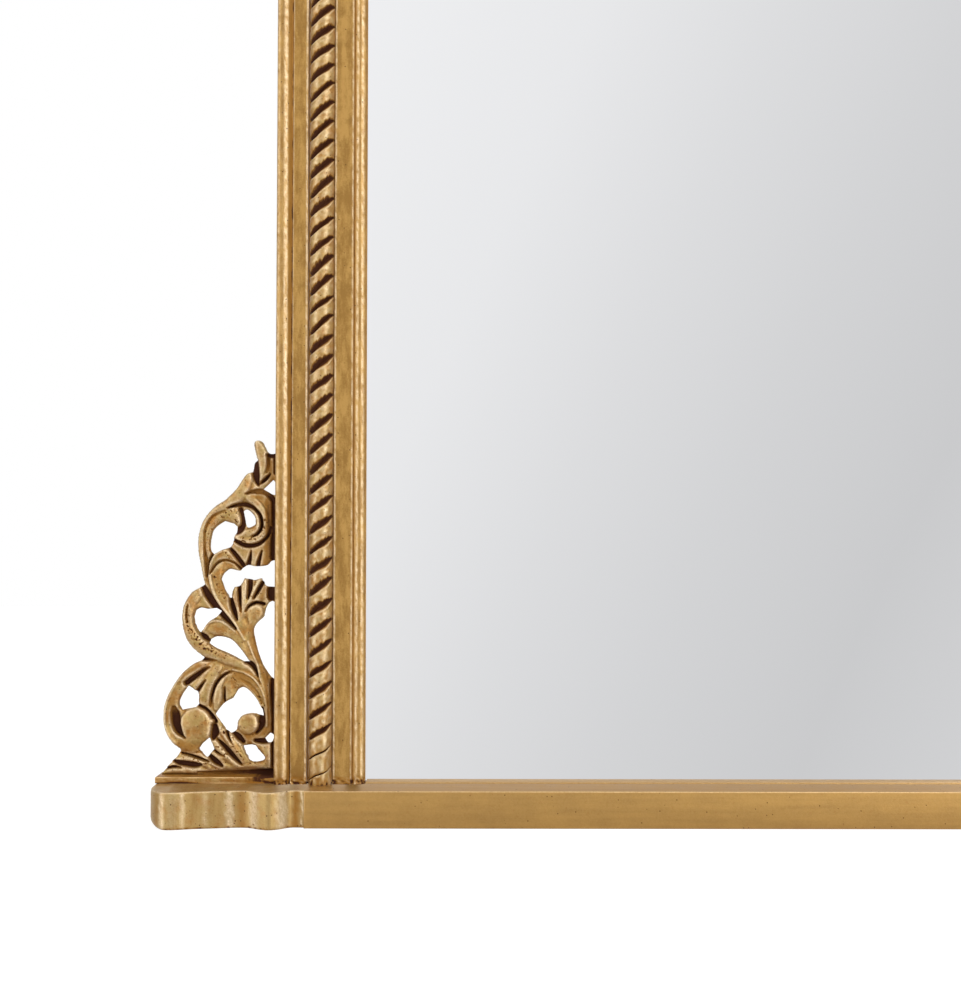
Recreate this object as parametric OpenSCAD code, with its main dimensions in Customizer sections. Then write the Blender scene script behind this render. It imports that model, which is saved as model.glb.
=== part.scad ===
// An arched giltwood mirror that stands on a shelf base: rope-twist frame, carved ears, plain glass.
// X runs across the front, the front looks along -Y, and Z runs up from the surface it stands on.

/* [Overall] */
// Height from the surface it stands on to the top of the arch
overall_h = 1830; // [1600:10:2200]
// Clear width of the glass between the uprights
sight_w = 842; // [700:2:920]
// Width of the frame moulding
moulding_w = 89; // [84:1:100]

/* [Frame moulding] */
// Depth of the frame, from its back to the crown of the rope
crown_h = 44; // [42:1:52]
// How far the flat bands lie behind the crown of the rope
flat_drop = 8; // [6:0.5:10]
// How far the outer bead lies behind the crown of the rope
bead_drop = 5; // [3:0.5:7]
// Radius of the outer bead
bead_r = 6; // [4:0.5:7]
// Width of the quirk beside the outer bead, and of the one beside the reeds
quirk_w = 4; // [2:0.5:5]
// Depth of both quirks below the flat bands
quirk_d = 5; // [2:0.5:7]
// Radius of the larger reed, at the sight edge
sight_reed_r = 2.8; // [2:0.1:3.5]
// Radius of the smaller reed beside it
small_reed_r = 2; // [1.2:0.1:2.5]
// How far the larger reed stands above the flat bands
sight_reed_rise = 3; // [1:0.5:4]
// How far the smaller reed stands above the flat bands
small_reed_rise = 2; // [1:0.5:3]

/* [Rope twist] */
// Width of the rope
rope_w = 22.5; // [18:0.5:25]
// Distance of the rope's centre line from the frame's outer edge
rope_from_edge = 45; // [42:0.5:48]
// Depth of the channel that the rope lies in, below the crown
rope_channel_d = 12; // [10.5:0.5:14]
// Gap between the rope and each wall of its channel
rope_gap = 1.5; // [0.5:0.5:2.5]
// Distance from one cut to the next
rope_pitch = 19.4; // [14:0.2:30]
// Depth of the cuts
rope_cut_d = 4.6; // [2:0.2:7]
// Half angle of the V cuts
rope_cut_a = 25; // [15:1:32]
// Slope of the cuts, from level
rope_lean = 37; // [25:1:48]

/* [Base] */
// Height of the base
base_h = 35; // [30:1:50]
// How far the base stands out past the frame on each side
base_out = 118; // [117:1:140]
// How far the base rail stands in front of the rope's crown
base_front = 28; // [15:1:40]
// How far the base stands behind the back of the frame
wall_gap = 16; // [14:1:30]
// How far each serpentine end block reaches in under the upright
block_lap = 34; // [30:1:38]
// How far the end block's two swells stand in front of the rail
swell = 9; // [5:0.5:12]
// Depth of the hollows beside the inner swell
hollow = 3; // [1:0.5:5]
// Height of the sight sill that lies between the uprights
sill_h = 1.5; // [1:0.5:4]
// How far the sill's front edge lies behind the rope's crown
sill_setback = 12; // [8:1:18]

/* [Glass and back] */
// Thickness of the mirror glass
glass_t = 5; // [3:1:6]
// Thickness of the backing board
board_t = 6; // [4:1:9]
// How far the backing board is sunk below the back of the frame
board_recess = 3; // [2:0.5:6]
// Width of the rebate that holds the glass
glass_rebate_w = 10; // [7:0.5:12]
// Width of the wider rebate that holds the backing board
board_rebate_w = 23; // [21:0.5:25]
// Gap round the edge of the glass
glass_gap = 2; // [1:0.5:3]
// Gap round the edge of the backing board
board_gap = 1; // [0.5:0.5:2]
// Depth of the groove in the base that the glass and the board stand in
groove_d = 8; // [5:1:12]
// Thickness of the setting blocks under the glass
setting_block_t = 3; // [2:0.5:4]
// Length of each setting block and edge packer
packer_l = 60; // [30:5:100]

/* [Carved ears] */
// Height of each carving above its plinth
carving_h = 329; // [300:1:340]
// Distance of the carving's flat back from the back of the frame
carving_back = 6; // [4:1:10]
// Thickness of the carving at its edges
carving_edge = 5; // [4:0.5:7]
// Height of the plinth bar under each carving
plinth_h = 6; // [4:0.5:10]
// Length of the plinth bar
plinth_w = 116; // [114:1:118]
// Depth of the plinth bar
plinth_depth = 30; // [26:1:34]
// How far the plinth bar's front lies behind the rope's crown
plinth_setback = 12; // [8:1:14]

/* [Joints and screws] */
// Diameter of the dowels in the arch joints and the end blocks
dowel_dia = 10; // [6:1:12]
// Length of the dowels
dowel_l = 50; // [30:2:60]
// Distance between the two dowels of a joint in the arch
dowel_pitch = 26; // [22:1:30]
// Distance of the end blocks' dowels from the front and the back of the base rail
end_dowel_inset = 14; // [10:1:18]
// Height of the end blocks' dowels above the surface it stands on
end_dowel_z = 15; // [10:1:18]
// Length of the screws up through the base into the uprights
base_screw_length = 90; // [60:5:110]
// Shank diameter of the base screws
base_screw_dia = 6; // [4:0.5:7]
// Head height of the base screws
base_screw_head_h = 4; // [3:0.5:5]
// Shank diameter of the small wood screws
screw_dia = 4; // [3:0.5:4.5]
// Length of the small wood screws, under the head
screw_l = 14; // [12:1:18]
// Head diameter of the small wood screws
screw_head_dia = 8; // [6:0.5:8.5]
// Head height of the small wood screws
screw_head_h = 2.2; // [1.5:0.1:2.4]
// Largest distance between the backing board's screws
board_screw_pitch = 220; // [120:10:300]
// Length of the steel joint plates on the back
plate_l = 110; // [90:5:140]
// Width of the joint plates
plate_w = 22; // [16:1:26]
// Thickness of the joint plates
plate_t = 2; // [1:0.5:3]
// Diameter of the steel pins between the carvings and the uprights
pin_dia = 3; // [2:0.5:4]
// Length of those pins
pin_l = 28; // [20:2:34]

/* [Hangers and bumpers] */
// How far the hanging rings' axis lies below the springing of the arch
hanger_drop = 140; // [110:5:400]
// Width of the hanger straps
strap_w = 18; // [14:1:20]
// Thickness of the hanger straps
strap_t = 1.5; // [1:0.5:2]
// Distance from the ring's axis to the strap's first screw
strap_first_screw = 11; // [10:0.5:12]
// Distance from the first screw to the second
strap_screw_pitch = 26; // [25:1:32]
// Diameter of the ring's wire
ring_wire = 4; // [3:0.2:4.4]
// Width of the ring, between the centres of its legs
ring_w = 32; // [30:1:36]
// Length of the ring's straight legs
ring_leg = 10; // [9:0.5:12]
// Gap all round the ring's bar inside the strap's loop
ring_play = 0.08; // [0.05:0.01:0.1]
// Gap between the hanging ring and the strap's plate
ring_plate_gap = 0.5; // [0.3:0.1:1]
// Diameter of the wall bumpers
bumper_dia = 24; // [16:1:30]
// Place of each bumper on the arch, in degrees up from the springing
bumper_a = 60; // [30:1:72]

/* [Hidden] */
outer_r = sight_w / 2 + moulding_w;
sight_r = sight_w / 2;
spring_z = overall_h - outer_r;
upright_h = spring_z - base_h;

rail_half = outer_r - block_lap;
end_block_w = block_lap + base_out;
base_depth = wall_gap + crown_h + base_front;
y_wall = (base_depth + swell) / 2;
y_back = y_wall - wall_gap;
y_rail_front = y_wall - base_depth;

flat_h = crown_h - flat_drop;
quirk_h = flat_h - quirk_d;
bead_top = crown_h - bead_drop;
outer_quirk = outer_r - 2 * bead_r - quirk_w;
rope_r = rope_w / 2;
rope_line = outer_r - rope_from_edge;
rope_bottom = crown_h - rope_channel_d;
sight_reed_line = sight_r + sight_reed_r;
small_reed_line = sight_reed_line + sight_reed_r + small_reed_r;
inner_quirk = small_reed_line + small_reed_r;

board_front_h = board_recess + board_t;
glass_front_h = board_front_h + glass_t;
glass_edge = sight_r + glass_rebate_w - glass_gap;
board_edge = sight_r + board_rebate_w - board_gap;
glass_foot = base_h - groove_d + setting_block_t;
groove_clear = 0.3;

// Dowels, plates, straps and bumpers sit on the middle of the solid wood outside the rebates.
fixing_r = (outer_r + sight_r + board_rebate_w) / 2;
dowel_h = quirk_h / 2;
dowel_lines = [fixing_r - dowel_pitch / 2, fixing_r + dowel_pitch / 2];
dowel_r = dowel_dia / 2;
screw_r = screw_dia / 2;
hole_clear = 0.05;

base_screw_lines = [(sight_r + board_rebate_w + rail_half) / 2, (rail_half + outer_r) / 2];
board_screw_r = sight_r + (glass_rebate_w + board_rebate_w) / 2;
upright_screws = ceil(upright_h / board_screw_pitch);
upright_screw_zs = [for (i = [0 : upright_screws - 1]) base_h + upright_h * (i + 0.5) / upright_screws];
arch_screws = ceil(board_screw_r * PI / 2 / board_screw_pitch);
arch_screw_as = [for (i = [0 : arch_screws - 1]) 90 * (i + 0.5) / arch_screws];
hanger_z = spring_z - hanger_drop;
strap_screw_zs = [hanger_z - strap_first_screw, hanger_z - strap_first_screw - strap_screw_pitch];
plate_screws = [-0.38 * plate_l, -0.14 * plate_l, 0.14 * plate_l, 0.38 * plate_l];

// The carving is drawn 333 units high, inside 150 units of width, and set to its real height.
drawn_h = 333;
drawn_w = 150;
carving_scale = carving_h / drawn_h;
carving_foot = base_h + plinth_h;
carving_out = 2;
pin_places = [181, 306];
pin_zs = [for (v = pin_places) carving_foot + v * carving_scale];
pin_h = carving_back + carving_edge / 2 + 1;

ring_r = ring_wire / 2;
loop_bore_r = ring_r + ring_play;
loop_r = loop_bore_r + strap_t;
ring_axis_h = strap_t + ring_plate_gap + ring_r;
strap_l = strap_first_screw + strap_screw_pitch + screw_head_dia;

gilt = [0.71, 0.55, 0.31];
gilt_light = [0.83, 0.68, 0.43];
gilt_dark = [0.55, 0.38, 0.17];
bare_wood = [0.76, 0.62, 0.43];
steel = [0.66, 0.67, 0.69];
silvered = [0.85, 0.86, 0.87];
rubber_grey = [0.22, 0.22, 0.23];

$fn = 64;

// Each half is drawn on the right, +X, and the left one is its reflection.
module on_side(left) {
    if (left) mirror([1, 0, 0]) children();
    else children();
}

module both_sides() {
    children();
    mirror([1, 0, 0]) children();
}

// Stands a drawing of radius against height above the frame's back up as a straight length.
module straight(length) translate([0, y_back, base_h]) mirror([0, 1, 0]) linear_extrude(length) children();

// Turns the same drawing through a quarter circle, from the springing to the crown.
module quarter() translate([0, y_back, spring_z]) rotate([90, 0, 0])
    rotate_extrude(angle = 90, $fn = 180) children();

// Puts children at a place on the face of the frame, with Z pointing out of its front.
module on_face(x, z, h = 0) translate([x, y_back - h, z]) rotate([90, 0, 0]) children();

// The same for a place on the arch, its angle measured up from the springing.
module on_arch(radius, angle, h = 0)
    on_face(radius * cos(angle), spring_z + radius * sin(angle), h) children();

// A wood screw driven from the back: its head lies behind height 0, its shank runs forwards.
module wood_screw() {
    cylinder(h = screw_l, r = screw_r);
    translate([0, 0, -screw_head_h]) cylinder(h = screw_head_h, r = screw_head_dia / 2);
}

// The hole for its shank.
module screw_hole() translate([0, 0, -1]) cylinder(h = screw_l + 2, r = screw_r + hole_clear);

// Smooth curve through a list of points, each a list of any length.
function spline_point(a, b, c, d, t) =
    0.5 * (2 * b + (c - a) * t + (2 * a - 5 * b + 4 * c - d) * t * t + (3 * b - a - 3 * c + d) * t * t * t);
function spline(p, steps) = let (n = len(p) - 1) [
    for (i = [0 : n - 1], s = [0 : steps - 1])
        spline_point(p[max(i - 1, 0)], p[i], p[i + 1], p[min(i + 2, n)], s / steps),
    p[n]
];

// Section of the frame: outer bead, flat bands, the rope's channel, two reeds and the rebates.
module moulding_section() difference() {
    union() {
        translate([inner_quirk, 0]) square([outer_quirk - inner_quirk, flat_h]);
        translate([sight_r, 0]) square([moulding_w, quirk_h]);
        translate([outer_r - 2 * bead_r, 0]) square([2 * bead_r, bead_top - bead_r]);
        translate([outer_r - bead_r, bead_top - bead_r]) circle(r = bead_r);
        reed(sight_reed_line, sight_reed_r, flat_h + sight_reed_rise);
        reed(small_reed_line, small_reed_r, flat_h + small_reed_rise);
    }
    translate([inner_quirk, quirk_h]) square([quirk_w, quirk_d + 1]);
    translate([rope_line - rope_r - rope_gap, rope_bottom]) square([rope_w + 2 * rope_gap, rope_channel_d]);
    translate([sight_r - 1, -1]) square([board_rebate_w + 1, board_front_h + 1]);
    translate([sight_r - 1, -1]) square([glass_rebate_w + 1, glass_front_h + 1]);
}

// One reed of the section: a round top on a straight stem.
module reed(line, r, top) {
    translate([line, top - r]) circle(r = r);
    translate([line - r, quirk_h - 1]) square([2 * r, top - r - quirk_h + 1]);
}

// Base rail: a straight board with a groove that the glass and the backing board stand in.
module base_rail() color(gilt) difference() {
    translate([-rail_half, y_rail_front, 0]) cube([2 * rail_half, base_depth, base_h]);
    translate([-board_edge - board_gap, y_back - glass_front_h - groove_clear, base_h - groove_d])
        cube([2 * (board_edge + board_gap), board_t + glass_t + 2 * groove_clear, groove_d + 1]);
    both_sides() base_screw_hole(base_screw_lines[0]);
    both_sides() end_block_dowel_pair(dowel_r + hole_clear, dowel_l / 2 + 0.5);
}

// Counterbored hole for one base screw.
module base_screw_hole(x) translate([x, y_back - dowel_h, -1]) {
    cylinder(h = base_h + 2, r = base_screw_dia / 2 + hole_clear);
    cylinder(h = base_screw_head_h + 2, r = base_screw_dia + 1);
}

// One base screw: its head lies 1 mm inside the counterbore's mouth.
module base_screw(x) translate([x, y_back - dowel_h, 1]) {
    cylinder(h = base_screw_length, r = base_screw_dia / 2);
    cylinder(h = base_screw_head_h, r = base_screw_dia);
}

// Two dowels across the joint of an end block and the rail.
module end_block_dowel_pair(r, half_l)
    for (y = [y_rail_front + end_dowel_inset, y_wall - end_dowel_inset])
        translate([rail_half - half_l, y, end_dowel_z]) rotate([0, 90, 0]) cylinder(h = 2 * half_l, r = r);

// Front line of an end block: how far out along it, and how far in front of the rail.
end_line = [
    [0, -hollow], [0.08, -hollow], [0.15, swell * 0.6], [0.21, swell], [0.27, swell * 0.65],
    [0.34, -hollow * 0.3], [0.41, -hollow * 0.8], [0.52, 0], [0.68, swell * 0.45],
    [0.82, swell], [0.91, swell * 0.5], [0.975, -swell], [1, -swell * 3],
];

// End block: a serpentine block under the outside of the upright and the carving.
module base_end(left) color(gilt) on_side(left) difference() {
    translate([rail_half, y_rail_front, 0]) linear_extrude(base_h) polygon(concat(
        [for (p = spline(end_line, 5)) [p[0] * end_block_w, -p[1]]],
        [[end_block_w, base_depth], [0, base_depth]]
    ));
    base_screw_hole(base_screw_lines[1]);
    end_block_dowel_pair(dowel_r + hole_clear, dowel_l / 2 + 0.5);
}

// Upright: a straight length of the moulding, from the base to the springing of the arch.
module upright(left) color(gilt) on_side(left) difference() {
    straight(upright_h) moulding_section();
    for (x = dowel_lines) translate([x, y_back - dowel_h, spring_z - dowel_l / 2 - 0.5])
        cylinder(h = dowel_l, r = dowel_r + hole_clear);
    for (x = base_screw_lines) translate([x, y_back - dowel_h, 0])
        cylinder(h = base_screw_length + 2, r = base_screw_dia / 2 + hole_clear);
    for (z = upright_screw_zs) on_face(board_screw_r, z, board_recess) screw_hole();
    for (z = strap_screw_zs) on_face(fixing_r, z) screw_hole();
    for (k = [0, 1]) on_face(fixing_r, spring_z + plate_screws[k]) screw_hole();
    carving_pin_pair(pin_dia / 2 + hole_clear, 0.5);
}

// Arch half: the same moulding turned through a quarter circle.
module arch(left) color(gilt) on_side(left) difference() {
    quarter() moulding_section();
    for (x = dowel_lines) translate([x, y_back - dowel_h, spring_z - 1])
        cylinder(h = dowel_l / 2 + 1.5, r = dowel_r + hole_clear);
    crown_dowel_pair(dowel_r + hole_clear, 0.5);
    for (a = arch_screw_as) on_arch(board_screw_r, a, board_recess) screw_hole();
    for (k = [2, 3]) on_face(fixing_r, spring_z + plate_screws[k]) screw_hole();
    for (k = [2, 3]) on_face(plate_screws[k], spring_z + fixing_r) screw_hole();
    on_arch(fixing_r, bumper_a) screw_hole();
}

// Two level dowels through the joint at the crown of the arch.
module crown_dowel_pair(r, extra)
    for (x = dowel_lines) translate([-dowel_l / 2 - extra, y_back - dowel_h, spring_z + x])
        rotate([0, 90, 0]) cylinder(h = dowel_l + 2 * extra, r = r);

// Half-round section of the rope, flat where it lies in its channel.
module rope_section() intersection() {
    translate([rope_line, crown_h - rope_r]) circle(r = rope_r);
    translate([rope_line - rope_r, rope_bottom]) square([rope_w, rope_channel_d]);
}

// One sloping V cut with its point at the origin, opening towards the front.
module rope_cut() {
    top = rope_cut_d + 1;
    half = top * tan(rope_cut_a);
    rotate([0, rope_lean, 0]) translate([-rope_w, 0, 0]) rotate([90, 0, 90])
        linear_extrude(2 * rope_w) polygon([[0, 0], [-top, half], [-top, -half]]);
}

rope_cuts = round(upright_h / rope_pitch);
rope_step = upright_h / rope_cuts;
arch_cuts = round(rope_line * PI / 2 / rope_pitch);
arch_step = 90 / arch_cuts;
rope_cut_y = y_back - crown_h + rope_cut_d;

// Rope on an upright: a carved twist that lies in the moulding's channel.
module rope(left) color(gilt_light) on_side(left) difference() {
    straight(upright_h) rope_section();
    for (k = [0 : rope_cuts - 1])
        translate([rope_line, rope_cut_y, base_h + rope_step * (k + 0.5)]) rope_cut();
}

// Rope on an arch half, with its cuts turned along with the curve.
module rope_arch(left) color(gilt_light) on_side(left) difference() {
    quarter() rope_section();
    for (k = [0 : arch_cuts - 1])
        translate([0, rope_cut_y, spring_z]) rotate([0, -arch_step * (k + 0.5), 0])
            translate([rope_line, 0, 0]) rope_cut();
}

// Sight sill: the low strip on the base between the uprights, in front of the glass.
module sight_sill() color(gilt) translate([-sight_r, y_back - crown_h + sill_setback, base_h])
    cube([sight_w, crown_h - sill_setback - glass_front_h, sill_h]);

// Plinth bar that the carving stands on.
module carving_plinth(left) color(gilt_dark) on_side(left)
    translate([outer_r, y_back - crown_h + plinth_setback, base_h]) cube([plinth_w, plinth_depth, plinth_h]);

// The carving is drawn flat: U runs out from the frame, V up from the plinth. It is a pierced plate
// with stems, leaves and knobs carved on it. A list of runs makes an outline, each run a smooth
// curve, with a corner where one run meets the next.
plate_outline = [
    [[-4, 321], [6, 320], [9, 326], [15, 332], [20, 333], [21, 328], [19, 317]],
    [[21, 310], [24, 304], [23, 301]],
    [[27, 302], [32, 296], [38, 285], [45, 277], [58, 269], [69, 257], [76, 242], [77, 225], [74, 206],
        [70, 189]],
    [[77, 185], [87, 177], [93, 163], [93, 147], [88, 133], [79, 124], [71, 117]],
    [[74, 113], [91, 102], [105, 83], [111, 64], [111, 48], [104, 33], [94, 25]],
    [[99, 17], [108, 8], [114, 0]],
    [[-4, 0]],
];

// The openings that pierce the plate. Those that reach U = -4 are open to the side of the frame.
pierced = [
    [[[2, 294], [-4, 290]], [[-4, 279], [3, 279], [12, 284]]],
    [[[32, 262], [28, 264], [22, 258], [20, 250], [27, 246], [31, 252]]],
    [[[51, 252], [59, 246], [64, 236], [65, 226], [62, 219]],
        [[52, 225], [44, 228], [42, 236], [38, 247], [43, 251]]],
    [[[54, 194], [50, 201], [44, 205], [36, 203], [28, 209], [20, 207], [12, 208], [5, 213], [-4, 213]],
        [[-4, 186], [8, 187], [14, 195]], [[21, 192], [27, 195], [32, 194]],
        [[37, 187], [42, 185], [45, 175]]],
    [[[5, 172], [-4, 170]],
        [[-4, 94], [3, 95], [11, 107], [17, 122], [21, 140], [17, 152], [10, 160], [8, 167]]],
    [[[79, 163], [70, 163], [60, 165], [54, 162]], [[59, 155], [67, 151], [75, 141]],
        [[80, 148], [81, 157]]],
    [[[65, 134], [57, 137], [46, 135], [37, 128], [26, 112]], [[35, 114], [50, 122], [65, 130]]],
    [[[87, 88], [79, 82], [76, 72], [81, 66]], [[94, 64], [95, 70], [92, 80]]],
    [[[60, 60], [52, 71], [42, 79], [37, 86], [30, 87], [19, 76], [14, 65], [13, 57]],
        [[25, 61], [36, 56], [39, 45], [46, 43]]],
    [[[66, 37], [61, 25], [68, 16]], [[76, 25], [72, 31]]],
    [[[32, 29], [20, 29], [12, 18], [14, 13], [25, 14]]],
    [[[5, 41], [2, 37], [6, 32], [11, 36]]],
];

// Stems: each point is [U, V, half width, height of its crown above its edges].
stems = [
    [[27, 297, 5, 5], [31, 287, 8, 8], [42, 271, 9, 9], [56, 259, 9, 9], [67, 245, 7, 8],
        [71, 230, 6.5, 8], [70, 217, 6.5, 8], [68, 204, 5.5, 7], [68, 192, 2.5, 4]],
    [[36, 206, 3, 3], [44, 213, 6, 6], [54, 217, 6.5, 8], [62, 210, 7, 8], [64, 199, 8, 9],
        [62, 188, 9, 10], [56, 177, 9, 10], [47, 164, 8, 9], [37, 151, 7, 9], [30, 139, 6, 8],
        [21, 115, 6, 8], [14, 101, 6, 7], [8, 88, 5, 6], [4, 74, 5, 5], [3, 58, 4, 4]],
    [[33, 275, 5, 6], [22, 269, 6, 8], [14, 259, 6, 8], [13, 248, 6.5, 8], [17, 240, 7, 8],
        [26, 237, 7, 8], [38, 236, 3, 4]],
    [[53, 258, 5, 6], [43, 256, 6, 7], [35, 250, 3, 4]],
    [[68, 186, 7, 7], [76, 176, 8, 9], [84, 168, 7, 9], [87, 157, 6.5, 9], [86, 146, 6.5, 9],
        [81, 134, 7, 9], [72, 125, 7.5, 9], [61, 118, 7, 8], [47, 113, 6.5, 8], [31, 107, 5, 7],
        [14, 94, 4, 5]],
    [[70, 140, 3, 4], [63, 145, 6, 6], [53, 145, 8, 7], [43, 139, 6.5, 7], [35, 131, 6, 6],
        [22, 109, 4, 4]],
    [[66, 114, 5, 6], [82, 102, 6, 9], [92, 92, 7, 9], [99, 79, 7.5, 9], [103, 68, 7.5, 9],
        [103, 55, 8, 9], [99, 41, 9, 8], [90, 31, 7, 6]],
    [[47, 95, 7, 7], [31, 94, 8, 9], [21, 87, 7, 9], [14, 74, 5, 7], [10, 58, 3.5, 6],
        [11, 46, 4.5, 6], [24, 37, 6, 6]],
    [[20, 168, 4, 5], [20, 160, 9, 11], [22, 150, 6, 8], [25, 136, 4.5, 6]],
    [[12, 40, 4, 4], [8, 20, 6, 4], [6, 3, 6, 4]],
];

// Leaves: root, belly and tip, each [U, V, half width], and the crown's height.
leaves = [
    [[18, 290, 5], [20, 302, 4.5], [19, 313, 2], 6],
    [[10, 288, 5], [11, 308, 7], [17, 331, 2.5], 8],
    [[5, 290, 4], [4, 305, 5.5], [5, 319, 2], 5],
    [[40, 230, 4], [36, 221, 4], [35, 212, 2.5], 5],
    [[32, 228, 5], [28, 219, 4.5], [25, 211, 3], 6],
    [[23, 230, 6], [16, 221, 6], [11, 210, 3.5], 6],
    [[32, 158, 4], [38, 170, 4.5], [41, 182, 2.5], 6],
    [[29, 160, 4], [31, 177, 5], [30, 190, 3], 7],
    [[26, 162, 4], [21, 178, 5], [16, 190, 3.5], 7],
    [[21, 166, 4], [13, 176, 5], [6, 181, 4.5], 6],
    [[60, 108, 5], [69, 93, 6.5], [71, 74, 3], 8],
    [[47, 101, 6], [56, 85, 5.5], [59, 64, 2], 7],
    [[56, 46, 4], [40, 29, 6], [27, 12, 4], 8],
    [[64, 34, 4], [49, 21, 6], [36, 8, 4], 8],
    [[67, 16, 3], [57, 11, 4.5], [44, 6, 4], 6],
    [[80, 22, 5], [90, 15, 7], [105, 4, 3.5], 7],
];

// Half-round knobs: [U, V, radius, crown height].
knobs = [[78, 50, 16, 11], [27, 52, 10, 9]];

module plate_shape(runs) polygon([for (r = runs, q = spline(r, 3)) q]);

// A stem: half-round above straight edges, swept along a smooth curve and closed at both ends.
module stem(points, steps = 2) {
    path = spline(points, steps);
    n = len(path) - 1;
    arc = [for (a = [180, 135, 90, 45, 0]) [cos(a), sin(a)]];
    rings = [
        for (i = [0 : n])
            let (d = path[min(i + 1, n)] - path[max(i - 1, 0)], l = norm([d[0], d[1]]), p = path[i])
            let (side = [-d[1] / l, d[0] / l])
            concat(
                [[p[0] - side[0] * p[2], p[1] - side[1] * p[2], 0]],
                [for (c = arc) [
                    p[0] + side[0] * p[2] * c[0], p[1] + side[1] * p[2] * c[0], carving_edge + p[3] * c[1]
                ]],
                [[p[0] + side[0] * p[2], p[1] + side[1] * p[2], 0]]
            )
    ];
    m = len(arc) + 2;
    polyhedron(
        points = [for (r = rings, q = r) q],
        faces = concat(
            [[for (j = [m - 1 : -1 : 0]) j]],
            [for (i = [0 : n - 1], j = [0 : m - 1])
                [i * m + j, i * m + (j + 1) % m, (i + 1) * m + (j + 1) % m, (i + 1) * m + j]],
            [[for (j = [0 : m - 1]) n * m + j]]
        )
    );
}

// A low button with a bevelled top, which hulls into leaves.
module button(p, crown) translate([p[0], p[1], 0]) {
    cylinder(h = carving_edge, r = p[2], $fn = 8);
    cylinder(h = carving_edge + crown, r1 = p[2], r2 = p[2] * 0.35, $fn = 8);
}

module leaf(l) {
    hull() {
        button(l[0], l[3] * 0.7);
        button(l[1], l[3]);
    }
    hull() {
        button(l[1], l[3]);
        button(l[2], l[3] * 0.5);
    }
}

module knob(k) translate([k[0], k[1], 0]) {
    cylinder(h = carving_edge, r = k[2], $fn = 20);
    translate([0, 0, carving_edge]) scale([1, 1, k[3] / k[2]]) sphere(r = k[2], $fn = 20);
}

// Carving: an ear of pierced scrolls and leaves, flat at its back and against the frame.
module carving(left) color(gilt) on_side(left) difference() {
    translate([outer_r + carving_out, y_back - carving_back, carving_foot]) rotate([90, 0, 0])
        scale([carving_scale, carving_scale, 1]) intersection() {
            union() {
                linear_extrude(carving_edge) difference() {
                    plate_shape(plate_outline);
                    for (hole = pierced) plate_shape(hole);
                }
                for (s = stems) stem(s);
                for (l = leaves) leaf(l);
                for (k = knobs) knob(k);
            }
            translate([-carving_out / carving_scale, 0, 0]) cube([drawn_w, drawn_h, crown_h]);
        }
    carving_pin_pair(pin_dia / 2 + hole_clear, 0.5);
}

// Steel pins that hold a carving to the side of its upright.
module carving_pin_pair(r, extra)
    for (z = pin_zs) translate([outer_r - pin_l * 0.7 - extra, y_back - pin_h, z])
        rotate([0, 90, 0]) cylinder(h = pin_l + 2 * extra, r = r);

// Outline of the glass or the board: a rectangle from its foot, with a half circle on top.
module arched_outline(half) {
    translate([-half, glass_foot - spring_z]) square([2 * half, spring_z - glass_foot]);
    circle(r = half, $fn = 180);
}

// Mirror glass: a plain silvered sheet that stands in the groove of the base.
module mirror_glass() color(silvered) on_face(0, spring_z, board_front_h)
    linear_extrude(glass_t) arched_outline(glass_edge);

// Backing board: closes the back and presses the glass forwards.
module backing_board() color(bare_wood) difference() {
    on_face(0, spring_z, board_recess) linear_extrude(board_t) arched_outline(board_edge);
    backing_screw_places() screw_hole();
}

module backing_screw_places() both_sides() {
    for (z = upright_screw_zs) on_face(board_screw_r, z, board_recess) children();
    for (a = arch_screw_as) on_arch(board_screw_r, a, board_recess) children();
}

module backing_screws() color(steel) backing_screw_places() wood_screw();

// Setting blocks: two hard rubber blocks that carry the glass and the board in the groove.
module setting_blocks() color(rubber_grey) both_sides()
    translate([sight_r / 2 - packer_l / 2, y_back - glass_front_h, base_h - groove_d])
        cube([packer_l, glass_t + board_t, setting_block_t]);

// Edge packers: slips that fill the gap beside the glass in its rebate.
module edge_packers() color(rubber_grey) both_sides()
    for (z = [base_h + upright_h * 0.12, base_h + upright_h * 0.85])
        translate([glass_edge, y_back - glass_front_h, z]) cube([glass_gap, glass_t, packer_l]);

// Dowels in the three joints of the arch.
module frame_dowels() color(bare_wood) {
    both_sides() for (x = dowel_lines) translate([x, y_back - dowel_h, spring_z - dowel_l / 2])
        cylinder(h = dowel_l, r = dowel_r);
    crown_dowel_pair(dowel_r, 0);
}

module end_block_dowels() color(bare_wood) both_sides() end_block_dowel_pair(dowel_r, dowel_l / 2);

module base_screws() color(steel) both_sides() for (x = base_screw_lines) base_screw(x);

// Steel plates across the three joints of the arch, on the back of the frame.
module joint_plates() color(steel) {
    both_sides() on_face(fixing_r, spring_z) joint_plate();
    on_face(0, spring_z + fixing_r) rotate([0, 0, 90]) joint_plate();
}

module joint_plate() difference() {
    translate([-plate_w / 2, -plate_l / 2, -plate_t]) cube([plate_w, plate_l, plate_t]);
    for (d = plate_screws) translate([0, d, 0]) screw_hole_through(plate_t);
}

// The hole that a screw's shank passes in a plate of thickness t behind the frame.
module screw_hole_through(t) translate([0, 0, -t - 1]) cylinder(h = t + 2, r = screw_r + hole_clear);

module joint_plate_screws() color(steel) {
    both_sides() for (d = plate_screws) on_face(fixing_r, spring_z + d, -plate_t) wood_screw();
    for (d = plate_screws) on_face(d, spring_z + fixing_r, -plate_t) wood_screw();
}

module carving_pins() color(steel) both_sides() carving_pin_pair(pin_dia / 2, 0);

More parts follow.
